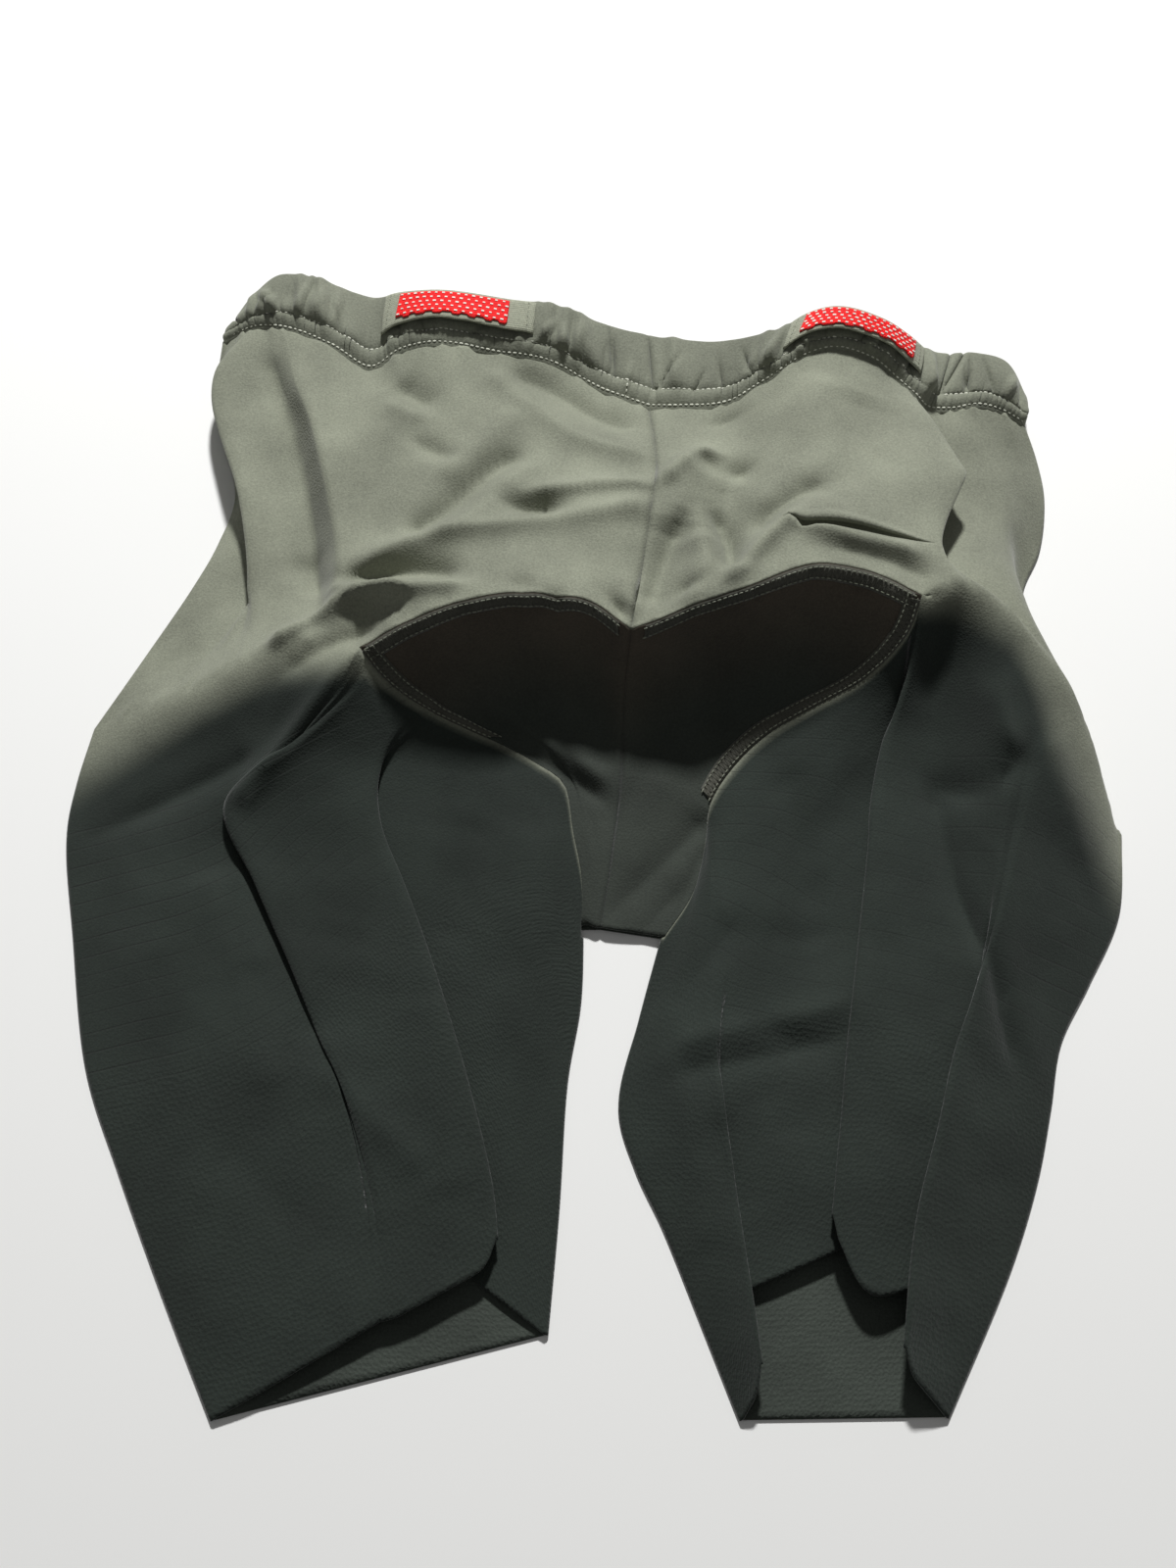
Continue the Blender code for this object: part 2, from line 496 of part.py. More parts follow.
heights = [0.035, 0.35, 0.7, 1.0]
ring = []
for k in range(BACK_STATIONS + 1):
    share = k / BACK_STATIONS
    covered = any(loop[1] - 0.01 < share < loop[2] + 0.01 for loop in LOOPS)
    ring.append([band_point(share, h, 0.4 if covered else 1.0)[0] for h in heights])
seam_front = np.concatenate([front_seams[1], front_seams[0][::-1]]) + [0, 0.3, CASING / 2 - CLOTH / 2]
top_front = curve([(x, y, CASING / 2) for x, y in FRONT_TOP][::-1])
for share in np.linspace(0, 1, FRONT_STATIONS + 1):
    low, high = along(seam_front, [share])[0], along(top_front, [share])[0]
    ring.append([low + (high - low) * h for h in heights])
ring.append(ring[0])
points, faces = sheet_of([np.array(ring).transpose(1, 0, 2)], True)
normals = normals_of(points, faces)
flat = np.abs(points[:, 2] - CASING / 2) < 0.01
normals[flat] = [0, 0, -1.0]
add_object("waistband", *wall(points, faces, normals, CASING), CASING_KNIT)

# Belt loops and the woven patches on them: the webbing stands off the gathers, most in its middle.
for name, loop_start, loop_end, patch_start, patch_end in LOOPS:
    for part, start, end, low, high, lift, thickness, cells, look in (
        ("loop", loop_start, loop_end, 0.38, 0.96, 0.0, WEBBING, 14, STRAP),
        ("patch", patch_start, patch_end, 0.48, 0.90, WEBBING / 2 + PATCH / 2 + SEAM_GAP, PATCH, 10, RED),
    ):
        grid = []
        for share in np.linspace(start, end, cells + 1):
            t = np.clip((share - loop_start) / (loop_end - loop_start), 0, 1)
            stand = CASING / 2 + WEBBING / 2 + SEAM_GAP + 0.45 + 1.8 * np.sin(np.pi * t) ** 0.7 + lift
            column = [band_point(share, h, 0.0) for h in (high, (low + high) / 2, low)]
            grid.append([point + way * stand for point, way in column])
        points, faces = sheet_of([np.array(grid).transpose(1, 0, 2)], False)
        add_object(f"{part}_{name}", *wall(points, faces, normals_of(points, faces), thickness), look)
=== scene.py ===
"""Triathlon shorts laid on a table with the seat side up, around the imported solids."""

import math

import bpy
import numpy as np
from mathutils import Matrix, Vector, noise


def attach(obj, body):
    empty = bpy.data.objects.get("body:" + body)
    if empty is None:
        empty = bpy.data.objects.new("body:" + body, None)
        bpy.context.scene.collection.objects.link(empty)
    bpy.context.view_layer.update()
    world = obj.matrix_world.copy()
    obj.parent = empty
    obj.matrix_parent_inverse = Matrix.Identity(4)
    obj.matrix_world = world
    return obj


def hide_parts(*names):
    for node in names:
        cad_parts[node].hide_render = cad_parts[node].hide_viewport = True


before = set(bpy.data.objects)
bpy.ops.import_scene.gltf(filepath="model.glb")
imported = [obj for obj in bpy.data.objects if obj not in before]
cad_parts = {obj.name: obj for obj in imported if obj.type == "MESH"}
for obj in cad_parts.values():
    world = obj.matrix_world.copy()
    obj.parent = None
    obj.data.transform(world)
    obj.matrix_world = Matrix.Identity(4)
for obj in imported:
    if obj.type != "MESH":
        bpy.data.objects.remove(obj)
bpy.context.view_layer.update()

# Table, light and camera.
# The photo is taken from above the hems, 68 degrees up. A low light from beyond the waist strikes the
# seat and leaves the near side of the hump and the legs in shade.
CAMERA_RISE = math.radians(68.0)
CAMERA_AWAY = 0.88
AIM = Vector((-0.00267, 0.00889, 0.0))


def in_scene(name, data):
    """A new object in the scene."""
    made = bpy.data.objects.new(name, data)
    bpy.context.scene.collection.objects.link(made)
    return made


def aimed(data, name, place, at):
    """An object for a camera or a light, turned to look at a point."""
    made = in_scene(name, data)
    made.location = place
    made.rotation_euler = (Vector(at) - Vector(place)).to_track_quat("-Z", "Y").to_euler()
    return made


camera = bpy.data.cameras.new("photo camera")
camera.lens = 50
camera.sensor_width = 36
camera.clip_start = 0.01
camera_place = AIM + CAMERA_AWAY * Vector((0, -math.cos(CAMERA_RISE), math.sin(CAMERA_RISE)))
bpy.context.scene.camera = aimed(camera, "photo camera", camera_place, AIM)

# Columns: name, place, aim, power in watts, side in metres.
LAMPS = [
    ("window", (0.10, 1.88, 1.71), (0, 0.05, 0.02), 84.0, 0.20),
    ("ceiling light", (0.1, -0.3, 2.4), (0, 0, 0), 2.8, 2.2),
]
for lamp_name, lamp_place, lamp_aim, lamp_power, lamp_side in LAMPS:
    lamp = bpy.data.lights.new(lamp_name, "AREA")
    lamp.energy = lamp_power
    lamp.size = lamp_side
    aimed(lamp, lamp_name, lamp_place, lamp_aim)
world = bpy.data.worlds.new("pale room")
bpy.context.scene.world = world
world.use_nodes = True
world.node_tree.nodes["Background"].inputs["Color"].default_value = (1, 1, 1, 1)
world.node_tree.nodes["Background"].inputs["Strength"].default_value = 0.125
bpy.context.scene.view_settings.view_transform = "Standard"


def linear(hex_color):
    """An sRGB hex value as linear red, green, blue and alpha."""
    parts = [int(hex_color[k:k + 2], 16) / 255 for k in (1, 3, 5)]
    return (*[p / 12.92 if p <= 0.04045 else ((p + 0.055) / 1.055) ** 2.4 for p in parts], 1.0)


def node(tree, kind, inputs=None, **settings):
    """Adds a node with settings. Its inputs are set, or linked to a socket or a node's first output."""
    made = tree.nodes.new(kind)
    for key, value in settings.items():
        setattr(made, key, value)
    for key, value in (inputs or {}).items():
        if isinstance(value, bpy.types.Node):
            value = value.outputs[0]
        if isinstance(value, bpy.types.NodeSocket):
            tree.links.new(value, made.inputs[key])
        else:
            made.inputs[key].default_value = value
    return made


def new_material(name, roughness, sheen=0.0):
    """A material, its node tree and its shader, matt and without metal."""
    made = bpy.data.materials.new(name)
    made.use_nodes = True
    shader = made.node_tree.nodes["Principled BSDF"]
    shader.inputs["Roughness"].default_value = roughness
    shader.inputs["Metallic"].default_value = 0.0
    shader.inputs["Specular IOR Level"].default_value = 0.25
    shader.inputs["Sheen Weight"].default_value = sheen
    shader.inputs["Sheen Roughness"].default_value = 0.5
    return made, made.node_tree, shader


# The table top is painted board, matt and nearly white.
table_paint, tree, shader = new_material("pale painted board", 0.6)
shader.inputs["Base Color"].default_value = linear("#ececea")
table_mesh = bpy.data.meshes.new("table")
TABLE_HALF = 3.0
TABLE_TOP = -0.0002
corners = [(x * TABLE_HALF, y * TABLE_HALF) for x, y in ((-1, -1), (1, -1), (1, 1), (-1, 1))]
table_mesh.from_pydata([(x, y, TABLE_TOP) for x, y in corners], [], [(0, 1, 2, 3)])
table_mesh.materials.append(table_paint)
table = in_scene("table", table_mesh)

# Back panels: polyamide and elastane warp knit, cut raw at the hems.
# Each runs from the waist over the seat and down the leg, in one piece, and the two are joined by the
# centre back seam. They lie in creases, in pleats down the legs and in a tuck across the right seat.
MM = 0.001
CLOTH = 0.8            # wall of the cloth, in millimetres as all sizes here
FOLD_GAP = 2.6         # between the layers of a pleat
SHALLOW = 8            # deepest drop of a pleat whose layers lie along the cloth
EDGE = 1.95            # height of the cloth where it folds round to the front
SHIFT = np.array([-2.67, 8.89, 0.0])    # from the tables' origin to the part's

# Seams and edges that two panels share. Columns: across (x), along (y), height (z).
WAIST_SEAM_LEFT = [
    (-158, 205, 8), (-144, 207, 15), (-127, 203, 18), (-110, 195, 18), (-93, 185, 16), (-80, 190, 22),
    (-62, 190, 28), (-40, 187, 26), (-17, 184, 24), (7, 170, 22), (26, 162, 22),
]
WAIST_SEAM_RIGHT = [
    (186, 164, 7), (176, 167, 12), (166, 168, 14), (155, 166, 14), (144, 165, 17), (137, 167, 25),
    (129, 172, 30), (119, 178, 35), (104, 181, 38), (91, 179, 35), (74, 170, 30), (58, 162, 25),
    (26, 162, 22),
]
CREST_LEFT = [(-200, 23, EDGE), (-180, 27, 12), (-157, 33, 23), (-128, 42, 36), (-107, 43, 43), (-90, 40, 42)]
CREST_RIGHT = [
    (212, -23, EDGE), (203, 7, 16), (192, 30, 30), (179, 46, 40), (166, 59, 46), (148, 64, 52), (131, 59, 52),
]
SADDLE_TOP_LEFT = [(-90, 40, 42), (-73, 47, 50), (-50, 53, 58), (-23, 57, 59), (0, 55, 55), (17, 45, 50)]
SADDLE_TOP_RIGHT = [(131, 59, 52), (109, 66, 60), (88, 67, 63), (61, 58, 60), (38, 51, 55), (17, 45, 50)]
SADDLE_SIDE_LEFT = [
    (-90, 40, 42), (-78, 30, 31), (-62, 22, 22), (-47, 16, 17), (-33, 11, 13), (-20, 4, 11), (-10, -3, 9),
    (-6, -23, 6), (-2, -45, 4), (-3, -61, 3),
]
SADDLE_SIDE_RIGHT = [
    (131, 59, 52), (126, 47, 42), (111, 34, 30), (90, 24, 22), (74, 16, 17), (59, 3, 13), (49, -12, 10),
    (47, -26, 7), (42, -47, 4), (30, -66, 3),
]
CENTRE_BACK = [(26, 162, 22), (28, 128, 36), (24, 90, 47), (17, 45, 50)]

# Outlines on the table. Columns: across (x), along (y).
OUTER_LEFT = [
    (-200, 23), (-205, -1), (-207, -22), (-201, -63), (-191, -118), (-176, -156), (-157, -200), (-135, -248),
]
OUTER_RIGHT = [
    (212, -23), (208, -55), (194, -83), (181, -107), (175, -133), (168, -160), (156, -192), (129, -247),
]
SIDE_LEFT = [(-157, 187), (-159, 168), (-149, 132), (-155, 108), (-164, 88), (-182, 55), (-200, 23)]
SIDE_RIGHT = [(187, 152), (193, 130), (189, 106), (181, 88), (179, 65), (188, 34), (202, 3), (212, -23)]
INNER_LEFT = [(-3, -61), (-4, -91), (-9, -122), (-12, -171), (-16, -218)]
INNER_RIGHT = [(30, -66), (21, -99), (13, -133), (19, -156), (29, -178), (43, -214), (56, -248)]


def at_edge(outline):
    """Points of an outline at the height where the cloth folds round."""
    return [(x, y, EDGE) for x, y in outline]


# Lines down each panel, from the outer side to the centre.
# soft and crease: kind, cells to the next line, share of the upper seam, points (x, y, z).
# pleat: kind, cells to the next line, shares of its four columns, points of the visible edge, way that the
# edge faces (-1 to the outer side, 1 to the centre), tuck and drop at four stations down it, and the share
# of its length by which the hidden turn ends short of the edge. A tuck below zero is cloth spread open.
SEAT_LEFT = [
    ("soft", 2, 0.0, [(-158, 205, 8), (-160, 188, 3)] + at_edge(SIDE_LEFT[1:])),
    ("pleat", 1, (0.03, 0.045, 0.06, 0.075),
     [(-157, 200, 12), (-162, 183, 15), (-155, 155, 18), (-145, 125, 21), (-139, 95, 21), (-134, 64, 23),
      (-131, 52, 29), (-128, 42, 36)], -1, (1, 8, 9, -14), (5, 9, 8, 1), 0),
    ("soft", 1, 0.11, [(-139, 202, 17), (-132, 178, 18), (-124, 157, 19), (-116, 118, 21), (-110, 79, 27),
                       (-112, 45, 42)]),
    ("crease", 1, 0.15, [(-132, 200, 18), (-124, 175, 24), (-116, 154, 29), (-106, 114, 34), (-99, 76, 38),
                         (-101, 43, 43)]),
    ("soft", 2, 0.31, [(-99, 189, 17), (-95, 154, 26), (-91, 107, 34), (-88, 71, 40), (-90, 40, 42)]),
    ("soft", 2, 0.46, [(-71, 190, 25), (-69, 146, 32), (-67, 104, 40), (-60, 50, 55)]),
    ("soft", 2, 0.71, [(-23, 184, 25), (-21, 133, 36), (-20, 90, 48), (-22, 57, 59)]),
    ("soft", 0, 1.0, CENTRE_BACK),
]
LEG_LEFT = [
    ("soft", 4, 0.0, at_edge(OUTER_LEFT)),
    ("soft", 4, 0.0, [(-148, 36, 27), (-153, 20, 21), (-159, 4, 14), (-165, -22, 10), (-168, -77, 8),
                      (-160, -131, 6), (-145, -189, 5), (-122, -241, 4)]),
    ("pleat", 2, (0.0, 0.02, 0.04, 0.06),
     [(-90, 40, 42), (-98, 26, 38), (-119, 5, 28), (-142, -16, 17), (-129, -46, 12), (-114, -79, 10),
      (-101, -110, 9), (-93, -127, 8), (-82, -161, 7), (-70, -213, 8)],
     -1, (-12, 14, 1, -6), (3, 7.5, 1.6, 0.1), 0),
    ("pleat", 2, (0.20, 0.22, 0.24, 0.26),
     [(-70, 24, 26), (-84, 0, 19), (-84, -20, 16), (-73, -48, 13), (-65, -69, 12), (-53, -105, 11),
      (-44, -136, 11), (-37, -165, 10), (-33, -193, 9.5)],
     1, (-4, 13, 15, 14), (2, 7, 6.6, 6.2), 0),
    ("soft", 2, 0.58, [(-18, 2, 11), (-26, -40, 9), (-30, -100, 5.5), (-28, -150, 3.5), (-24, -212, 3)]),
    ("soft", 0, 1.0, [(-3, -61, 3)] + at_edge(INNER_LEFT[1:])),
]
SEAT_RIGHT = [
    ("soft", 3, 0.0, [(186, 164, 7), (191, 148, 3)] + at_edge(SIDE_RIGHT[1:])),
    ("soft", 2, 0.15, [(163, 168, 13), (171, 137, 14), (172, 102, 18), (172, 71, 32), (185, 39, 36)]),
    ("pleat", 2, (0.26, 0.28, 0.30, 0.32),
     [(137, 167, 26), (144, 147, 33), (151, 127, 38), (153, 122, 39), (150, 114, 41), (143, 98, 45),
      (136, 80, 50), (131, 59, 52)],
     -1, (3, 15, 14, 1), (8, 21, 20, 6), 0),
    ("soft", 2, 0.46, [(104, 181, 38), (101, 137, 46), (90, 91, 59), (98, 67, 62)]),
    ("soft", 2, 0.74, [(58, 162, 25), (58, 123, 38), (54, 80, 50), (56, 56, 59)]),
    ("soft", 0, 1.0, CENTRE_BACK),
]
LEG_RIGHT = [
    ("soft", 3, 0.0, at_edge(OUTER_RIGHT)),
    ("pleat", 1, (0.0, 0.0, 0.0, 0.0),
     [(182, 43, 39), (176, 10, 33), (168, -30, 24), (159, -62, 20), (148, -91, 18.5), (139, -117, 18),
      (132, -144, 17.8), (123, -174, 17.6), (118, -200, 17.4), (113, -231, 17)],
     1, (-12, -8, 7, 6), (0.1, 0.4, 5, 5.4), 0.11),
    ("soft", 1, 0.0, [(150, 63, 51), (140, 36, 26), (138, 8, 16), (139, -13, 14), (143, -45, 13.4),
                      (142, -80, 13), (128, -114, 12.6), (116, -150, 12.3), (103, -205, 12)]),
    ("pleat", 3, (0.0, 0.02, 0.04, 0.06),
     [(131, 59, 52), (128, 38, 35), (119, 12, 21), (113, -15, 17.5), (111, -35, 16), (106, -71, 14),
      (100, -112, 13), (96, -144, 12.6), (90, -181, 12.3)],
     1, (-14, 10, 14, 14), (3, 7.5, 6, 5.6), 0),
    ("pleat", 3, (0.66, 0.68, 0.70, 0.72),
     [(50, -20, 12), (48, -70, 11), (48, -105, 11), (51, -134, 12), (54, -167, 12), (59, -206, 12.1),
      (63, -236, 12)],
     -1, (-8, -6, 4, 4), (0.1, 0.3, 3.2, 3.4), 0.15),
    ("soft", 0, 1.0, [(30, -66, 3)] + at_edge(INNER_RIGHT[1:])),
]

FINE_ACROSS = 7        # columns of the cloth to each cell of the table
SEAT_ROWS = 100
LEG_ROWS = 120
CREST_COLUMNS = 8      # cells from the outer side to the saddle's corner
TOP_COLUMNS = 6        # and from there to the centre
ROUNDED_ROWS = 7       # rows to either side of the crest that are rounded over it
ROUNDING_PASSES = 14

# Rise of the knitted-in ribs per millimetre to the right, and how strongly they show, at each line of a leg.
RIBS_LEFT = [(0.21, 1.0), (0.21, 1.0), (0.85, 0.85), (0.5, 0.15), (0.2, 0.3), (0.1, 0.2)]
RIBS_RIGHT = [(-0.62, 1.0), (-0.5, 0.6), (-0.3, 0.25), (-0.15, 0.3), (-0.1, 0.45), (0.0, 0.3)]

# Corners of the hem, each at a pleat's edge. Columns: the pleat's place in the table, radius.
HEM_CORNERS_LEFT = [(3, 9)]
HEM_CORNERS_RIGHT = [(4, 7), (3, 4), (1, 7)]

# The tuck that runs across the right seat: share down the seat, left and right ends (x), and its section as
# steps back (y) and up (z).
TUCK_SHARE, TUCK_LEFT, TUCK_RIGHT = 0.775, 79, 137
TUCK_SECTION = [
    (0, 0.8), (-1.2, 1.6), (-2.4, 2.0), (-3.2, 1.4), (-3.2, 0.3), (-2.2, -0.8), (-1.4, -2.2), (-1.6, -3.8),
    (-2.6, -5.2), (-4.0, -5.8), (-5.4, -5.4), (-6.6, -4.0), (-7.4, -2.0),
]
TUCK_AFTER = [(-6.2, -0.9), (-5.0, -0.3), (-4.0, 0), (-3.0, 0), (-2.0, 0), (-1.0, 0), (-0.4, 0)]

# Creases of the lying cloth. Columns: height, below zero for a trough, half width, places along it (x, y).
CREASES = [
    (-6.8, 7.5, [(-33, 179), (-12, 167), (6, 154), (21, 150)]),
    (3.4, 5.9, [(-42, 178), (-23, 157), (0, 138), (24, 131)]),
    (-6.4, 7.5, [(-82, 174), (-72, 165), (-64, 157)]), (2.9, 4.7, [(-86, 165), (-74, 155), (-65, 150)]),
    (-4.1, 4.1, [(-73, 142), (-63, 134), (-54, 129)]),
    (-6.8, 5.4, [(-27, 134), (-40, 123), (-57, 104), (-74, 91)]),
    (3.4, 5.9, [(-20, 127), (-32, 115), (-47, 97), (-63, 87)]),
    (-6.2, 4.6, [(-34, 107), (-24, 102), (-9, 102)]),
    (5.2, 4.1, [(-25, 110), (-12, 111), (8, 114), (28, 112)]),
    (5.2, 5.9, [(-104, 73), (-75, 86), (-24, 93), (25, 104)]),
    (-7.4, 6.2, [(-102, 75), (-82, 75), (-64, 73), (-49, 68)]),
    (5.8, 4.1, [(-107, 68), (-79, 64), (-48, 61)]),
    (7.4, 4.0, [(-128, 44), (-109, 55), (-92, 63), (-70, 62)]),
    (-4.2, 4.5, [(-121, 32), (-102, 43), (-82, 49)]), (5.5, 11, [(34, 89), (39, 112), (48, 126)]),
    (-4.5, 6, [(57, 118), (59, 91), (56, 66)]), (3.5, 7, [(-29, 156), (-44, 136), (-62, 118)]),
    (-6.7, 5.9, [(40, 100), (33, 84), (24, 54)]), (8, 4.7, [(29, 111), (38, 123), (46, 130), (55, 130)]),
    (-6.7, 4.7, [(58, 127), (67, 116)]), (-7.5, 3.6, [(50, 103), (55, 89), (59, 71)]),
    (6.7, 5.9, [(44, 91), (46, 71), (38, 51)]), (7.5, 4.7, [(54, 61), (68, 78), (84, 95)]),
    (-6.7, 5.9, [(65, 86), (76, 98), (95, 111)]), (-4.1, 4.7, [(49, 149), (66, 156)]),
    (2.9, 10.6, [(96, 169), (84, 132), (67, 98)]), (-2.9, 11.8, [(116, 158), (105, 119), (92, 101)]),
    (-4.4, 3.4, [(-138, 192), (-129, 164), (-118, 122), (-109, 70)]),
    (-4.6, 5.9, [(-118, 94), (-107, 65), (-113, 47)]), (-4.4, 4.7, [(-23, 66), (-27, 56)]),
    (-5.3, 4.7, [(-12, 61), (-13, 52)]), (-5.5, 3.2, [(8, 60), (15, 49)]),
    (3.4, 4.1, [(16, 71), (17, 49)]), (-6.0, 4.7, [(32, 57), (46, 65)]), (3.4, 3.6, [(54, 60), (58, 66)]),
    (4.1, 4.7, [(84, 86), (105, 80), (131, 78)]), (-3.5, 6, [(93, 76), (114, 73), (136, 68)]),
    (4.5, 4.5, [(-87, 42), (-99, 29), (-120, 6), (-141, -18)]),
    (-3.2, 5.5, [(-204, -26), (-167, -11), (-132, 5)]),
    (-3, 5.5, [(136, -6), (153, -11), (165, -6), (172, 4)]), (3, 5, [(157, 30), (167, 0)]),
    (-3.5, 4, [(136, -6), (143, -46), (155, -83), (162, -119)]),
    (-2.8, 4, [(-47, 24), (-16, 6), (8, -12)]), (2.5, 5, [(-44, 30), (-16, 12), (10, -5)]),
    (-3.2, 6, [(49, -16), (27, -39), (5, -60)]), (-3, 3, [(47, -28), (34, -60)]),
    (-2.5, 3, [(39, -44), (18, -68)]), (-2.0, 8, [(-43, -18), (-57, -71)]),
    (-2.5, 7, [(78, 1), (91, -73)]), (2.2, 6, [(31, -111), (102, -94)]),
    (-2.2, 6, [(34, -122), (100, -107)]), (1.8, 7, [(-143, -16), (-127, -82)]),
    (-1.5, 7, [(59, -61), (31, -97)]), (-1.6, 8, [(-91, -64), (-106, -110)]),
    (-1.5, 5, [(49, -138), (56, -178)]), (2.0, 12, [(-150, -40), (-120, -130)]),
    (2.0, 7, [(-104, -118), (-60, -160)]), (1.5, 9, [(-60, -90), (-48, -170)]),
    (1.5, 8, [(30, -110), (44, -190)]), (-2.0, 12, [(80, -60), (76, -150)]),
    (-2.0, 5, [(60, -100), (88, -112)]), (2.0, 8, [(180, 10), (196, -40)]),
    (1.5, 9, [(-20, -20), (-18, -120)]), (-1.5, 9, [(-140, -150), (-100, -180)]),
]


def eased(start, end, slope, last_slope, s):
    """Points at the shares s of a smooth step, from its ends and its slopes there."""
    return ((2 * s**3 - 3 * s**2 + 1) * start + (s**3 - 2 * s**2 + s) * slope
            + (3 * s**2 - 2 * s**3) * end + (s**3 - s**2) * last_slope)


def curve(points, fine=24):
    """A smooth curve through the points, as many short chords."""
    p = np.array(points, float)
    t = np.concatenate([[0], np.cumsum(np.sqrt(np.linalg.norm(np.diff(p, axis=0), axis=1)))])
    slope = np.gradient(p, t, axis=0)
    s = np.linspace(0, 1, fine, endpoint=False)[:, None]
    out = []
    for k in range(len(p) - 1):
        h = t[k + 1] - t[k]
        out.append(eased(p[k], p[k + 1], h * slope[k], h * slope[k + 1], s))
    out.append(p[-1:])
    return np.concatenate(out)


def lengths(line):
    """Distance along a chain at each of its points."""
    return np.concatenate([[0], np.cumsum(np.linalg.norm(np.diff(line, axis=0), axis=1))])


def run_down(grid):
    """Distance of each point from the grid's first row, along its column."""
    steps = np.linalg.norm(np.diff(grid, axis=0), axis=2)
    return np.concatenate([np.zeros((1, grid.shape[1])), np.cumsum(steps, axis=0)])


def along(line, shares):
    """The points at these shares of a chain's length."""
    run = lengths(line)
    at = np.asarray(shares) * run[-1]
    return np.stack([np.interp(at, run, line[:, k]) for k in range(line.shape[1])], axis=1)


def spread(values, cells):
    """Values at every column, evenly spaced between those at the lines."""
    out = [values[0]]
    for k, count in enumerate(cells):
        out += [values[k] + (values[k + 1] - values[k]) * (i + 1) / count for i in range(count)]
    return np.array(out)


def lines_of(panel, rows, outer):
    """Every line of a panel at its rows, a pleat as four; also cells, shares and each line's bulge."""
    at = np.linspace(0, 1, rows + 1)
    up = np.array([0, 0, 1.0])
    plain = [along(curve(row[3]), at) for row in panel]
    lines, cells, shares, creased, bulges = [], [], [], [], []
    for k, row in enumerate(panel):
        line = plain[k]
        if row[0] != "pleat":
            lines.append(line)
            cells.append(row[1] * FINE_ACROSS)
            shares.append(row[2])
            creased.append(row[0] == "crease")
            bulges.append(None)
            continue
        run = np.gradient(line, axis=0)
        across = np.stack([-run[:, 1], run[:, 0], 0 * run[:, 0]], axis=1)
        across *= (np.sign(across[:, 0]) * outer / np.linalg.norm(across, axis=1))[:, None]
        for _ in range(min(36, round((rows / 20) ** 2))):
            across[1:-1] = (across[:-2] + across[1:-1] + across[2:]) / 3
        across /= np.linalg.norm(across, axis=1)[:, None]
        tuck = np.interp(at, [0, 1 / 3, 2 / 3, 1], row[5])[:, None]
        drop = np.interp(at, [0, 1 / 3, 2 / 3, 1], row[6])[:, None]
        pressed = 1 - 0.6 * np.clip((at - 0.88) / 0.1, 0, 1)
        layer = np.minimum(FOLD_GAP, drop / 2) * pressed[:, None]
        # A shallow pleat's layers lie along the cloth, and its turn falls with the layer over it.
        along_cloth = np.cross(run, across)
        along_cloth *= np.sign(along_cloth[:, 2:]) / np.linalg.norm(along_cloth, axis=1)[:, None]
        down = up if drop.max() > SHALLOW else along_cloth
        cover = plain[k - 1] if row[4] > 0 else plain[k + 1]
        steep = (line - cover)[:, 2] / np.linalg.norm((line - cover)[:, :2], axis=1)
        fall = up * np.clip(steep, 0, 1)[:, None] * np.clip(tuck, 0, None)
        turn = along(curve(row[3]), at * (1 - row[7])) + row[4] * across * tuck - fall
        open_by = np.clip(-tuck / 6, 0, 1) / 3
        step = (line - turn) * [1, 1, 0] * open_by
        round_by = across * layer * 0.5 * np.clip(tuck / 3, 0, 1) * row[4]
        four = [turn - down * drop, turn + step - down * (drop - layer), line - step - down * layer, line]
        lines += four if row[4] < 0 else four[::-1]
        bulges += [round_by, None, -round_by, None] if row[4] < 0 else [-round_by, None, round_by, None]
        cells += [FINE_ACROSS] * 3 + [row[1] * FINE_ACROSS]
        shares += list(row[2])
        creased += [True] * 4
    return lines, cells[:-1], shares, creased, bulges


def across_rows(lines, cells, creased, bulges):
    """A grid of points: each row passes smoothly through its lines, and turns round at a pleat's folds."""
    grid = []
    for j, row in enumerate(np.stack(lines, axis=1)):
        points = [row[:1]]
        chord = np.linalg.norm(np.diff(row, axis=0), axis=1) + 1e-6
        slope = np.diff(row, axis=0) / chord[:, None]
        for k, count in enumerate(cells):
            first = slope[k] if k == 0 or creased[k] else (slope[k - 1] + slope[k]) / 2
            last = slope[k] if k + 1 == len(cells) or creased[k + 1] else (slope[k] + slope[k + 1]) / 2
            s = (np.arange(count) + 1)[:, None] / count
            part = eased(row[k], row[k + 1], chord[k] * first, chord[k] * last, s)
            if bulges[k] is not None:
                part = part + bulges[k][j] * np.sin(math.pi * s)
            points.append(part)
        grid.append(np.concatenate(points))
    return np.array(grid)


def settle(grid, target, reach):
    """Brings the grid's first row to the target, and the rows after it less and less."""
    weight = np.clip(1 - np.linspace(0, 1, len(grid)) / reach, 0, 1) ** 2
    return grid + weight[:, None, None] * (target - grid[0])


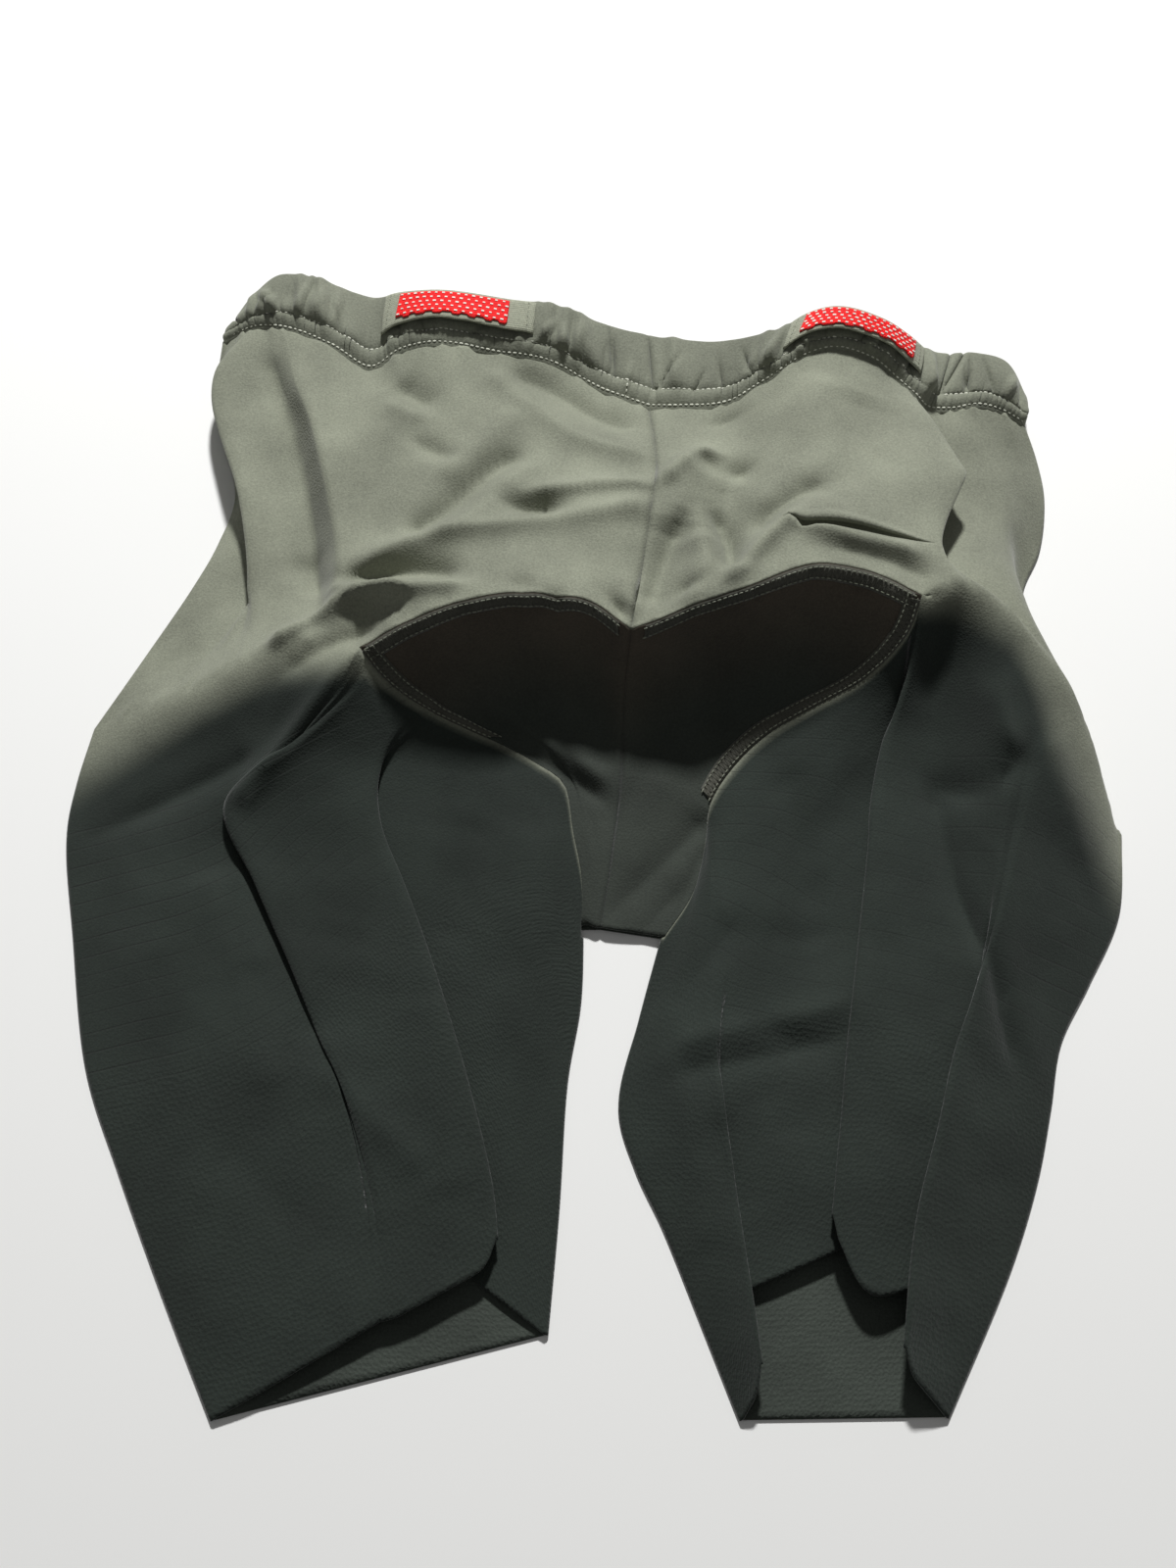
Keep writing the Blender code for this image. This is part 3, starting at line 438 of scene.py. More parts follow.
def crease_relief(points):
    """The points with creases and slight unevenness, the same for every panel and layer at a place."""
    out = points.copy()
    free = np.clip((points[..., 2] - EDGE) / 6, 0, 1)
    place = points[..., :2].reshape(-1, 2)
    for height, width, places in CREASES:
        line = curve(places, 4)
        run = lengths(line)
        low, high = line.min(axis=0) - 3 * width, line.max(axis=0) + 3 * width
        box = (place > low).all(axis=1) & (place < high).all(axis=1)
        near = place[box]
        best, at = np.full(len(near), 1e9), np.zeros(len(near))
        for k in range(len(line) - 1):
            step = line[k + 1] - line[k]
            share = np.clip((near - line[k]) @ step / (step @ step), 0, 1)
            away = np.linalg.norm(near - line[k] - share[:, None] * step, axis=1)
            closer = away < best
            best[closer] = away[closer]
            at[closer] = (run[k] + share * (run[k + 1] - run[k]))[closer]
        ends = np.clip(np.minimum(at, run[-1] - at) / 9 + 0.25, 0, 1)
        lift = np.zeros(len(place))
        lift[box] = height * ends * np.exp(-((best / width) ** 1.5))
        out[..., 2] += lift.reshape(free.shape) * free
    uneven = [0.9 * noise.noise((x / 30, y / 22, 3)) + 0.35 * noise.noise((x / 9, y / 12, 9))
              for x, y, _ in points.reshape(-1, 3)]
    out[..., 2] += np.array(uneven).reshape(free.shape) * free
    out[..., 2] = np.maximum(out[..., 2], EDGE)
    return out


def back_panel(seat, leg, waist, crest, top, side, outer):
    """Seat and leg as one sheet: they share their columns from the outer side to the saddle's corner."""
    shared = CREST_COLUMNS * FINE_ACROSS
    lines, cells, shares, creased, bulges = lines_of(seat, SEAT_ROWS, outer)
    upper = across_rows(lines, cells, creased, bulges)
    upper = settle(upper, along(curve(waist), spread(shares, cells)), 0.25)
    crest_points = along(curve(crest), np.linspace(0, 1, shared + 1))
    top_points = along(curve(top), np.linspace(0, 1, TOP_COLUMNS * FINE_ACROSS + 1))
    upper = settle(upper[::-1], np.concatenate([crest_points, top_points[1:]]), 0.4)[::-1]
    lines, cells, shares, creased, bulges = lines_of(leg, LEG_ROWS, outer)
    lower = across_rows(lines, cells, creased, bulges)
    side_shares = spread(shares, cells)[shared:]
    side_points = along(curve(side), side_shares)
    lower = settle(lower, np.concatenate([crest_points, side_points[1:]]), 0.3)
    # The shared columns run on over the crest, which is rounded along them.
    whole = np.concatenate([upper[:-1, 1:shared], lower[:, 1:shared]])
    near = np.clip(1 - np.abs(np.arange(len(whole)) - SEAT_ROWS) / ROUNDED_ROWS, 0, 1)[1:-1, None, None]
    for _ in range(ROUNDING_PASSES):
        whole[1:-1] += near * 0.5 * ((whole[:-2] + whole[2:]) / 2 - whole[1:-1])
    upper[:, 1:shared] = whole[: SEAT_ROWS + 1]
    lower[:, 1:shared] = whole[SEAT_ROWS:]
    return crease_relief(upper), crease_relief(lower), side_shares


def tuck_across(grid):
    """The seat folded on itself along a row, open at its inner end and closing towards the side."""
    at = round(TUCK_SHARE * SEAT_ROWS)
    x = grid[at, :, 0]
    window = np.clip((x - TUCK_LEFT) / 6, 0, 1) * np.clip((TUCK_RIGHT - x) / 50, 0, 1) ** 0.6
    window = window * window * (3 - 2 * window)
    steps = np.array([(0, back, up) for back, up in TUCK_SECTION], float)
    share = (np.arange(len(steps)) / len(steps))[:, None, None]
    between = grid[at] * (1 - share) + grid[at + 1] * share
    folded = between + steps[:, None, :] * window[None, :, None]
    after = grid[at + 1:].copy()
    for k, (back, up) in enumerate(TUCK_AFTER):
        after[k] += np.array([0, back, up]) * window[:, None]
    return np.concatenate([grid[:at], folded, after])


def puckered(grid, wave, height, fade, keep_edge):
    """The first rows of a grid drawn into small gathers by the seam along them."""
    down = run_down(grid)
    run = lengths(grid[0])
    wavy = np.array([noise.noise((u / wave, 0, 7)) + 0.6 * noise.noise((u / wave * 0.45, 5, 7)) for u in run])
    lean = np.array([noise.noise((u / 20, 3, 1)) for u in run])
    strength = np.exp(-down / (fade * (1 + 0.8 * lean)))
    if keep_edge:
        strength = strength * (1 - np.exp(-down / 1.5))
    out = grid.copy()
    out[..., 2] += height * wavy * strength
    return out


def grooved(grid, deep, wide, at_end):
    """The cloth sunk beside its side edge, where it turns in to a plain seam."""
    reach = np.linalg.norm(grid - (grid[:, -1:] if at_end else grid[:, :1]), axis=2)
    out = grid.copy()
    out[..., 2] -= deep * np.exp(-((reach / wide) ** 2))
    return out


def hem_rounded(grid, panel, corners):
    """The leg's columns shortened beside a fold's lower corner, which rounds it in both of its layers."""
    starts = np.cumsum([0] + [(row[1] + 3 * (row[0] == "pleat")) * FINE_ACROSS for row in panel])
    out = grid.copy()
    for place, radius in corners:
        row = panel[place]
        first = starts[place]
        edge = first if row[4] > 0 else first + 3 * FINE_ACROSS
        own = range(starts[place - 1], first + 2 * FINE_ACROSS) if row[4] > 0 else \
            range(first + FINE_ACROSS, starts[place + 1] + 1)
        for column in own:
            in_turn = 0 <= (column - edge) * row[4] <= FINE_ACROSS
            away = 0 if in_turn else np.linalg.norm(grid[-1, column, :2] - grid[-1, edge, :2])
            if away < radius:
                cut = 0.9 * radius * (1 - away / radius) ** 2.3
                line = out[:, column]
                out[:, column] = along(line, np.linspace(0, 1, len(line)) * (1 - cut / lengths(line)[-1]))
    return out


def tucked_under(grid, at_end):
    """The side edge carried round and down to the front panel, as the cloth folds there."""
    edge, inside = (grid[:, -1], grid[:, -4]) if at_end else (grid[:, 0], grid[:, 3])
    run = np.gradient(edge, axis=0)
    out = np.stack([-run[:, 1], run[:, 0], 0 * run[:, 0]], axis=1)
    out /= np.linalg.norm(out, axis=1)[:, None] + 1e-9
    out *= np.sign(np.sum(out * (edge - inside), axis=1))[:, None]
    turn = [edge + out * a + np.array([0, 0, b]) for a, b in ((0.7, -0.35), (1.0, -0.9), (0.75, -1.5))]
    extra = np.stack(turn if at_end else turn[::-1], axis=1)
    return np.concatenate([grid, extra] if at_end else [extra, grid], axis=1)


ABOVE_RIBS = -0.05     # a place down the knit, in metres, with neither ribs nor dimples


def knit_runs(grid, ribs=None, painted_light_and_wear=1.0):
    """For each point its place across and down the knit in metres, how ribbed it is, and its share of the
    painted light and shade.
    """
    across = run_down(grid.transpose(1, 0, 2)).T
    rise, strong = (np.zeros(grid.shape[1]), np.zeros(grid.shape[1])) if ribs is None else ribs
    lean = np.cumsum(np.diff(grid[..., 0], axis=1) * (rise[1:] + rise[:-1]) / 2, axis=1)
    lean = np.concatenate([np.zeros((len(grid), 1)), lean], axis=1)
    down = lean - grid[..., 1]
    return np.stack([across * MM, down * MM, strong + 0 * down, painted_light_and_wear + 0 * down], axis=-1)


def plain_runs(grid, painted_light_and_wear=1.0):
    """The same for cloth without ribs or dimples: all of it lies above where they begin."""
    runs = knit_runs(grid, None, painted_light_and_wear)
    runs[..., 1] = ABOVE_RIBS
    return runs


def painted_light_below(grid, reach):
    """Painted light and shade, 1 at the grid's first row and 0 at each column's reach in millimetres below
    it.
    """
    at = np.linspace(0, 1, grid.shape[1])
    left_over = np.clip(1 - run_down(grid) / np.interp(at, *zip(*reach)), 0, 1)
    return left_over * left_over * (3 - 2 * left_over)


def ribs_of(panel, table, extra):
    """Rise and strength of the ribs at every column of a leg, with the columns that fold under."""
    values = []
    for row, pair in zip(panel, table):
        values += [pair] * (4 if row[0] == "pleat" else 1)
    cells = []
    for row in panel:
        cells += [FINE_ACROSS] * 3 + [row[1] * FINE_ACROSS] if row[0] == "pleat" else [row[1] * FINE_ACROSS]
    at = spread(np.array(values, float), cells[:-1])
    at = np.concatenate([np.repeat(at[:1], extra, axis=0), at, np.repeat(at[-1:], extra, axis=0)])
    return at[:, 0], at[:, 1]


def sheet_of(grids, runs, flip):
    """Grids as one sheet of points, faces and knit distances, with points that coincide made one."""
    points, faces, spans, start = [], [], [], 0
    for grid, run in zip(grids, runs):
        rows, columns = grid.shape[:2]
        at = np.arange(rows * columns).reshape(rows, columns) + start
        quads = np.stack([at[:-1, :-1], at[1:, :-1], at[1:, 1:], at[:-1, 1:]], axis=-1).reshape(-1, 4)
        points.append(grid.reshape(-1, 3))
        spans.append(run.reshape(-1, 4))
        faces.append(quads[:, ::-1] if flip else quads)
        start += rows * columns
    points = np.concatenate(points)
    _, first, index = np.unique(np.round(points, 3), axis=0, return_index=True, return_inverse=True)
    return points[first], index.reshape(-1)[np.concatenate(faces)], np.concatenate(spans)[first]


def face_normals(points, faces):
    """Unit normals of the faces."""
    p = points[faces]
    normals = np.cross(p[:, 2] - p[:, 0], p[:, 3] - p[:, 1])
    return normals / (np.linalg.norm(normals, axis=1)[:, None] + 1e-12)


def normals_of(points, faces):
    """Unit normals at the points, each face at a point counting the same."""
    normals = np.zeros_like(points)
    facing = face_normals(points, faces)
    for k in range(4):
        np.add.at(normals, faces[:, k], facing)
    return normals / (np.linalg.norm(normals, axis=1)[:, None] + 1e-12)


def rim_of(faces):
    """The edges that only one face has, each in that face's direction."""
    edges = np.concatenate([faces[:, [k, (k + 1) % 4]] for k in range(4)])
    edges = edges[edges[:, 0] != edges[:, 1]]
    seen = {(a, b) for a, b in edges.tolist()}
    return np.array([(a, b) for a, b in edges.tolist() if (b, a) not in seen])


def wall_object(name, sheet, thickness, material, rounded=0.0):
    """A closed wall with the sheet in its middle, its rim rounded outward if wanted."""
    points, faces, spans = sheet
    normals = normals_of(points, faces)
    rim = rim_of(faces)
    count = len(points)
    lean, met = np.zeros(count), np.zeros(count)
    facing = face_normals(points, faces)
    for k in range(4):
        np.add.at(lean, faces[:, k], np.sum(facing * normals[faces[:, k]], axis=1))
        np.add.at(met, faces[:, k], 1)
    offset = normals * (thickness / 2 / np.clip(lean / met, 0.9, 1))[:, None]
    top = points + offset
    bottom = points - offset
    outward = np.zeros_like(points)
    run = points[rim[:, 1]] - points[rim[:, 0]]
    for k in (0, 1):
        np.add.at(outward, rim[:, k], -np.cross(normals[rim[:, k]], run))
    outward /= np.linalg.norm(outward, axis=1)[:, None] + 1e-9
    every = np.concatenate([top, bottom, points + outward * rounded])
    every[:, 2] = np.maximum(every[:, 2], 0.02)
    polygons = [f.tolist() for f in faces] + [(f[::-1] + count).tolist() for f in faces]
    for a, b in rim.tolist():
        polygons.append([b, a, a + 2 * count, b + 2 * count])
        polygons.append([b + 2 * count, a + 2 * count, a + count, b + count])
    polygons = [[f[k] for k in range(4) if f[k] != f[k - 1]] for f in polygons]
    used = np.zeros(3 * count, bool)
    used[: 2 * count] = True
    used[np.unique(rim) + 2 * count] = True
    renumber = np.cumsum(used) - 1
    polygons = [[int(renumber[v]) for v in f] for f in polygons if len(f) > 2]
    spans = np.concatenate([spans, spans, spans])[used]
    mesh = bpy.data.meshes.new(name)
    mesh.from_pydata(((every[used] + SHIFT) * MM).tolist(), [], polygons)
    layer = mesh.uv_layers.new(name="cloth")
    corners = np.zeros(len(mesh.loops), np.int32)
    mesh.loops.foreach_get("vertex_index", corners)
    layer.data.foreach_set("uv", spans[corners, :2].reshape(-1).astype(np.float32))
    for place, title in ((2, "ribs"), (3, "painted_light_and_wear")):
        values = mesh.attributes.new(title, "FLOAT", "POINT").data
        values.foreach_set("value", spans[:, place].astype(np.float32))
    mesh.materials.append(material)
    mesh.shade_smooth()
    return in_scene(name, mesh)


# Warp knit dyed charcoal green: matt, with a faint sheen from its brushed yarn. Over the seat, which faces
# the light, it is paler: painted light, fading to the dye just below the crest. Ribs are knitted in on the
# thigh and small dimples above the hem.
SEAT_LIT_GREY = "#7b7e6f"
LEG_CHARCOAL = "#232a25"
# Near black mixed into each rib's furrow: painted shade.
FURROW_SHADE_BLACK = "#0e110e"
YARN = 0.0009                     # spacing of the stitches in metres, twice the real one so that it shows
RIB_STEP, FURROW = 0.0075, 0.0010           # from rib to rib, and the furrow's width, in metres
RIBS_BEGIN, RIBS_END = (0.014, 0.022), (0.118, 0.140)
DIMPLE_STEP = 0.0019
DIMPLES_BEGIN = (0.105, 0.135)


def knit(name, upper, lower):
    """Knit that changes from one colour to another down the garment: painted light and shade over its dye."""
    material, tree, shader = new_material(name, 0.85, sheen=0.15)
    place = node(tree, "ShaderNodeTexCoord").outputs["Object"]
    # How much painted light and shade: the upper colour stands in for it, and the lower one is the dye.
    fade = node(tree, "ShaderNodeAttribute", attribute_name="painted_light_and_wear").outputs["Fac"]
    dye_and_painted_light = node(tree, "ShaderNodeMix", {0: fade, 6: linear(lower), 7: linear(upper)}, data_type="RGBA")
    uv = node(tree, "ShaderNodeUVMap", uv_map="cloth")
    down = node(tree, "ShaderNodeSeparateXYZ", {0: uv}).outputs["Y"]
    # A rib is a narrow furrow, darkened towards black: painted shade. Where ribs show is on the cloth
    # itself. They fade at both ends and in patches.
    rib = node(tree, "ShaderNodeAttribute", attribute_name="ribs").outputs["Fac"]
    painted_light_and_wear = node(tree, "ShaderNodeTexNoise", {"Vector": place, "Scale": 22.0, "Detail": 2.0})
    painted_light_and_wear = node(tree, "ShaderNodeMapRange", {"Value": painted_light_and_wear, "From Min": 0.35, "From Max": 0.6})
    rib = node(tree, "ShaderNodeMath", {0: rib, 1: painted_light_and_wear}, operation="MULTIPLY")
    phase = node(tree, "ShaderNodeMath", {0: down, 1: RIB_STEP, 2: 0.0}, operation="WRAP")
    steps = ((phase, (0.0, FURROW), 1.0), (down, RIBS_BEGIN, 0.0), (down, RIBS_END, 1.0))
    for value, (low, high), first in steps:
        step = node(tree, "ShaderNodeMapRange", {"Value": value, "From Min": low, "From Max": high,
                                                 "To Min": first, "To Max": 1.0 - first},
                    interpolation_type="SMOOTHSTEP")
        rib = node(tree, "ShaderNodeMath", {0: rib, 1: step}, operation="MULTIPLY")
    painted_furrow_shade = node(tree, "ShaderNodeMath", {0: rib, 1: 0.9}, operation="MULTIPLY")
    ribbed = node(tree, "ShaderNodeMix", {0: painted_furrow_shade, 6: dye_and_painted_light.outputs[2], 7: linear(FURROW_SHADE_BLACK)},
                  data_type="RGBA")
    # Melange: single yarns a little lighter or darker, and faint blotches of wear.
    grain = node(tree, "ShaderNodeTexNoise", {"Vector": place, "Scale": 1100.0, "Detail": 3.0})
    blotch = node(tree, "ShaderNodeTexNoise", {"Vector": place, "Scale": 28.0, "Detail": 3.0})
    both = node(tree, "ShaderNodeMath", {0: grain, 1: 0.8, 2: blotch}, operation="MULTIPLY_ADD")
    shade = node(tree, "ShaderNodeMapRange", {"Value": both, "From Min": 0.6, "From Max": 1.2,
                                              "To Min": 0.72, "To Max": 1.28})
    color = node(tree, "ShaderNodeVectorMath", {0: ribbed.outputs[2], "Scale": shade}, operation="SCALE")
    tree.links.new(color.outputs[0], shader.inputs["Base Color"])
    # Stitches all over, and dimples that begin where the ribs end.
    stitch = node(tree, "ShaderNodeTexVoronoi", {"Vector": place, "Scale": 1 / YARN})
    dimple = node(tree, "ShaderNodeTexVoronoi", {"Vector": uv, "Scale": 1 / DIMPLE_STEP, "Randomness": 0.6},
                  voronoi_dimensions="2D")
    low, high = DIMPLES_BEGIN
    begun = node(tree, "ShaderNodeMapRange", {"Value": down, "From Min": low, "From Max": high},
                 interpolation_type="SMOOTHSTEP")
    pits = node(tree, "ShaderNodeMath", {0: dimple, 1: begun}, operation="MULTIPLY")
    bump = node(tree, "ShaderNodeBump", {"Height": stitch, "Strength": 0.35, "Distance": 0.0003})
    bump = node(tree, "ShaderNodeBump", {"Height": pits, "Strength": 0.4, "Distance": 0.0006, "Normal": bump})
    bump = node(tree, "ShaderNodeBump", {"Height": rib, "Strength": 0.6, "Distance": 0.0004, "Normal": bump},
                invert=True)
    tree.links.new(bump.outputs[0], shader.inputs["Normal"])
    return material


def placed(piece, solid):
    """The piece shown in place of its solid."""
    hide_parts(solid)
    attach(piece, "root")


# Upper colour: painted light over the seat. Lower colour: the knit's dark dye.
back_knit = knit("charcoal warp knit backs", SEAT_LIT_GREY, LEG_CHARCOAL)
left = back_panel(SEAT_LEFT, LEG_LEFT, WAIST_SEAM_LEFT, CREST_LEFT, SADDLE_TOP_LEFT, SADDLE_SIDE_LEFT, -1)
right = back_panel(SEAT_RIGHT, LEG_RIGHT, WAIST_SEAM_RIGHT, CREST_RIGHT, SADDLE_TOP_RIGHT,
                   SADDLE_SIDE_RIGHT, 1)
panels = (
    ("back_left", left, LEG_LEFT, RIBS_LEFT, HEM_CORNERS_LEFT, False),
    ("back_right", right, LEG_RIGHT, RIBS_RIGHT, HEM_CORNERS_RIGHT, True),
)
# How far below the crest the seat's painted light reaches: share of the way from the outer side, millimetres.
LIT_BELOW = {
    "back_left": [(0, 42), (0.2, 26), (0.45, 16), (0.6, 4), (1, 2)],
    "back_right": [(0, 44), (0.12, 36), (0.3, 24), (0.42, 10), (0.55, 4), (1, 2)],
}
for name, panel, lines, ribs, corners, mirrored in panels:
    seat = puckered(panel[0], wave=3.6, height=1.6, fade=8, keep_edge=False)
    seat = puckered(seat[::-1], wave=4.2, height=2.4, fade=8, keep_edge=True)[::-1]
    seat = grooved(seat, deep=0.4, wide=0.8, at_end=True)
    seat = tucked_under(tuck_across(seat) if mirrored else seat, False)
    leg = tucked_under(tucked_under(hem_rounded(panel[1], lines, corners), False), True)
    leg[0, :3] = seat[-1, :3]
    leg_ribs = ribs_of(lines, ribs, 3)
    # Near the crest the leg takes the seat's painted light, and further down its own darker dye.
    painted_light_and_wear = painted_light_below(leg, LIT_BELOW[name])
    sheet = sheet_of([leg, seat], [knit_runs(leg, leg_ribs, painted_light_and_wear), knit_runs(seat)], mirrored)
    piece = wall_object(name + "_cloth", sheet, CLOTH, back_knit)
    placed(piece, name)

# Saddle: two panels of the same knit, let in below the seat and joined down their middle.
# Flatlock seams with two needle rows and a ladder of thread between them hold them to the seat and legs.
# The saddle's top lies in the hump's shade: its warmer brown there is painted shade, fading to charcoal lower
# down.
SADDLE_SHADE_BROWN = "#4a4339"
SADDLE_CHARCOAL = "#333832"
SADDLE_SHADE_REACH = [(0, 62), (1, 62)]            # reach of the painted shade below the saddle's top, as in LIT_BELOW
BAND_WIDTH = 6.8
BAND_WALL = 0.5
BAND_RISE = [0.0, 0.45, 0.6, 0.45, 0.0]     # of the seam's doubled edges over the cloth, across the band
NEEDLE_ROWS = (1.1, 5.7)                    # from the seam's edge
NEEDLE_RISE = 0.8
LADDER_STEP = 0.9
SIDE_BAND_ENDS = {"saddle_left": -22, "saddle_right": -38}      # last column of the side seam's band

# Lines from the side seam to the centre seam. Columns: cells to the next line, points.
CENTRE_SADDLE = [(17, 45, 50), (15, 34, 30), (14, 18, 17), (13, -5, 11), (9, -36, 6), (5, -62, 4)]
SADDLE_LEFT = [
    (1, SADDLE_SIDE_LEFT),
    (2, [(-72, 47, 50), (-64, 38, 36), (-50, 28, 22), (-32, 19, 14), (-13, 8, 10), (-4, -22, 6.4),
         (-1, -61, 3.2)]),
    (2, [(-36, 56, 58), (-33, 47, 40), (-27, 34, 23), (-16, 18, 13), (-4, -4, 9), (1, -32, 6.4),
         (0, -61, 3.4)]),
    (1, [(-1, 55, 55), (1, 46, 36), (3, 30, 17), (4, -4, 10.5), (5, -34, 6.5), (3, -62, 3.8)]),
    (0, CENTRE_SADDLE),
]
SADDLE_RIGHT = [
    (1, SADDLE_SIDE_RIGHT),
    (2, [(111, 65, 59), (108, 50, 44), (98, 38, 29), (76, 27, 20), (51, 12, 13), (41, -16, 8.6),
         (36, -44, 4.6), (25, -65, 3)]),
    (2, [(73, 62, 61), (73, 50, 40), (66, 36, 24), (50, 19, 14), (36, -8, 10), (28, -36, 6), (18, -64, 3.2)]),
    (1, [(35, 50, 54), (34, 42, 34), (32, 26, 16), (28, -6, 11), (20, -33, 7), (10, -63, 3.6)]),
    (0, CENTRE_SADDLE),
]


def saddle_panel(panel, top, side_shares):
    """The saddle's rows run from the side seam to the centre seam."""
    total = sum(row[0] for row in panel)
    lines, cells, done = [], [], 0
    for count, points in panel:
        w = done / total
        share = (1 - w) * side_shares + w * np.linspace(0, 1, len(side_shares))
        lines.append(along(curve(points), share))
        cells.append(count * FINE_ACROSS)
        done += count
    none = [None] * len(lines)
    grid = across_rows(lines, cells[:-1], [False] * len(lines), none)
    return crease_relief(settle(grid, along(curve(top), np.linspace(0, 1, total * FINE_ACROSS + 1)), 0.5))


def beside_edge(grid, away, lift):
    """The chain that runs at a distance from the grid's first row, lifted off the cloth, and its way out."""
    down = run_down(grid)
    chain, ahead = [], []
    for j in range(grid.shape[1]):
        at = min(away, down[-1, j] - 1)
        chain.append([np.interp(at, down[:, j], grid[:, j, k]) for k in range(3)])
        ahead.append([np.interp(at + 1, down[:, j], grid[:, j, k]) for k in range(3)])
    chain, ahead = np.array(chain), np.array(ahead)
    out = np.cross(np.gradient(chain, axis=0), ahead - chain)
    out *= np.sign(out @ np.array([0, -0.35, 1.0]))[:, None]
    for _ in range(6):
        out[1:-1] = (out[:-2] + out[1:-1] + out[2:]) / 3
    out /= np.linalg.norm(out, axis=1)[:, None] + 1e-9
    return chain + out * lift, out


def plain_yarn(name, color, roughness):
    """Twisted polyester thread: smooth, so it catches small lights."""
    material, tree, shader = new_material(name, roughness, sheen=0.0)
    place = node(tree, "ShaderNodeTexCoord").outputs["Object"]
    twist = node(tree, "ShaderNodeTexNoise", {"Vector": place, "Scale": 900.0, "Detail": 2.0})
    shade = node(tree, "ShaderNodeMapRange", {"Value": twist, "To Min": 0.75, "To Max": 1.25})
    tinted = node(tree, "ShaderNodeVectorMath", {0: linear(color)[:3], "Scale": shade}, operation="SCALE")
    tree.links.new(tinted.outputs[0], shader.inputs["Base Color"])
    return material


def begun_tree(name, inputs):
    """A Geometry Nodes tree with named inputs, their sockets inside it, and the chains as curves."""
    tree = bpy.data.node_groups.new(name, "GeometryNodeTree")
    tree.is_modifier = True
    tree.interface.new_socket("Geometry", in_out="OUTPUT", socket_type="NodeSocketGeometry")
    for title, kind in [("Geometry", "Geometry")] + inputs + [("Thread", "Material")]:
        tree.interface.new_socket(title, in_out="INPUT", socket_type="NodeSocket" + kind)
    given = node(tree, "NodeGroupInput").outputs
    return tree, given, node(tree, "GeometryNodeMeshToCurve", {"Mesh": given["Geometry"]})


def ended_tree(tree, given, made):
    """The tree, ended with its instances made real and the thread's material set."""
    real = node(tree, "GeometryNodeRealizeInstances", {"Geometry": made})
    dyed = node(tree, "GeometryNodeSetMaterial", {"Geometry": real, "Material": given["Thread"]})
    node(tree, "NodeGroupOutput", {"Geometry": dyed})
    return tree


def stitch_tree():
    """Geometry nodes that lay a stitch at each step along every chain."""
    sizes = [(title, "Float") for title in ("Spacing", "Length", "Width", "Height", "Unevenness")]
    tree, given, curves = begun_tree("stitches in a row", sizes + [("Seed", "Int"), ("Square", "Bool")])
    steps = node(tree, "GeometryNodeResampleCurve", {"Curve": curves, "Length": given["Spacing"]},
                 mode="LENGTH")
    ball = node(tree, "GeometryNodeMeshIcoSphere", {"Radius": 0.5, "Subdivisions": 1})
    box = node(tree, "GeometryNodeMeshCube")
    shape = node(tree, "GeometryNodeSwitch", {"Switch": given["Square"], "False": ball, "True": box},
                 input_type="GEOMETRY")
    tangent = node(tree, "GeometryNodeInputTangent")
    facing = node(tree, "GeometryNodeInputNamedAttribute", {"Name": "facing"}, data_type="FLOAT_VECTOR")
    turned = node(tree, "FunctionNodeAlignRotationToVector", {"Vector": tangent}, axis="X")
    flat = node(tree, "FunctionNodeAlignRotationToVector", {"Rotation": turned, "Vector": facing},
                axis="Z", pivot_axis="X")
    least = node(tree, "ShaderNodeMath", {0: 1.0, 1: given["Unevenness"]}, operation="SUBTRACT")
    most = node(tree, "ShaderNodeMath", {0: 1.0, 1: given["Unevenness"]}, operation="ADD")
    uneven = node(tree, "FunctionNodeRandomValue", {2: least, 3: most, "Seed": given["Seed"]},
                  data_type="FLOAT").outputs[1]
    size = node(tree, "ShaderNodeCombineXYZ", {0: given["Length"], 1: given["Width"], 2: given["Height"]})
    scale = node(tree, "ShaderNodeVectorMath", {0: size, "Scale": uneven}, operation="SCALE")
    laid = node(tree, "GeometryNodeInstanceOnPoints", {"Points": steps, "Instance": shape,
                                                       "Rotation": flat, "Scale": scale})
    return ended_tree(tree, given, laid)


def thread_tree():
    """Geometry nodes that make a thread along every chain."""
    tree, given, curves = begun_tree("thread along a chain", [("Radius", "Float")])
    ring = node(tree, "GeometryNodeCurvePrimitiveCircle", {"Resolution": 4, "Radius": given["Radius"]})
    tube = node(tree, "GeometryNodeCurveToMesh", {"Curve": curves, "Profile Curve": ring,
                                                  "Fill Caps": True})
    return ended_tree(tree, given, tube)


def sewn(name, chains, tree, **given):
    """Chains of (points, way out) in millimetres, made into thread by a node tree, as a plain mesh."""
    points = np.concatenate([chain for chain, _ in chains])
    facing = np.concatenate([out for _, out in chains])
    edges, start = [], 0
    for chain, _ in chains:
        edges += [(start + k, start + k + 1) for k in range(len(chain) - 1)]
        start += len(chain)
    mesh = bpy.data.meshes.new(name)
    mesh.from_pydata(((points + SHIFT) * MM).tolist(), edges, [])
    mesh.attributes.new("facing", "FLOAT_VECTOR", "POINT").data.foreach_set("vector", facing.reshape(-1))
    made = in_scene(name, mesh)
    modifier = made.modifiers.new("thread", "NODES")
    modifier.node_group = tree
    for item in tree.interface.items_tree:
        if item.in_out == "INPUT" and item.name in given:
            modifier[item.identifier] = given[item.name]
    graph = bpy.context.evaluated_depsgraph_get()
    plain = bpy.data.meshes.new_from_object(made.evaluated_get(graph), depsgraph=graph)
    made.modifiers.remove(modifier)
    made.data = plain
    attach(made, "root")
    return made
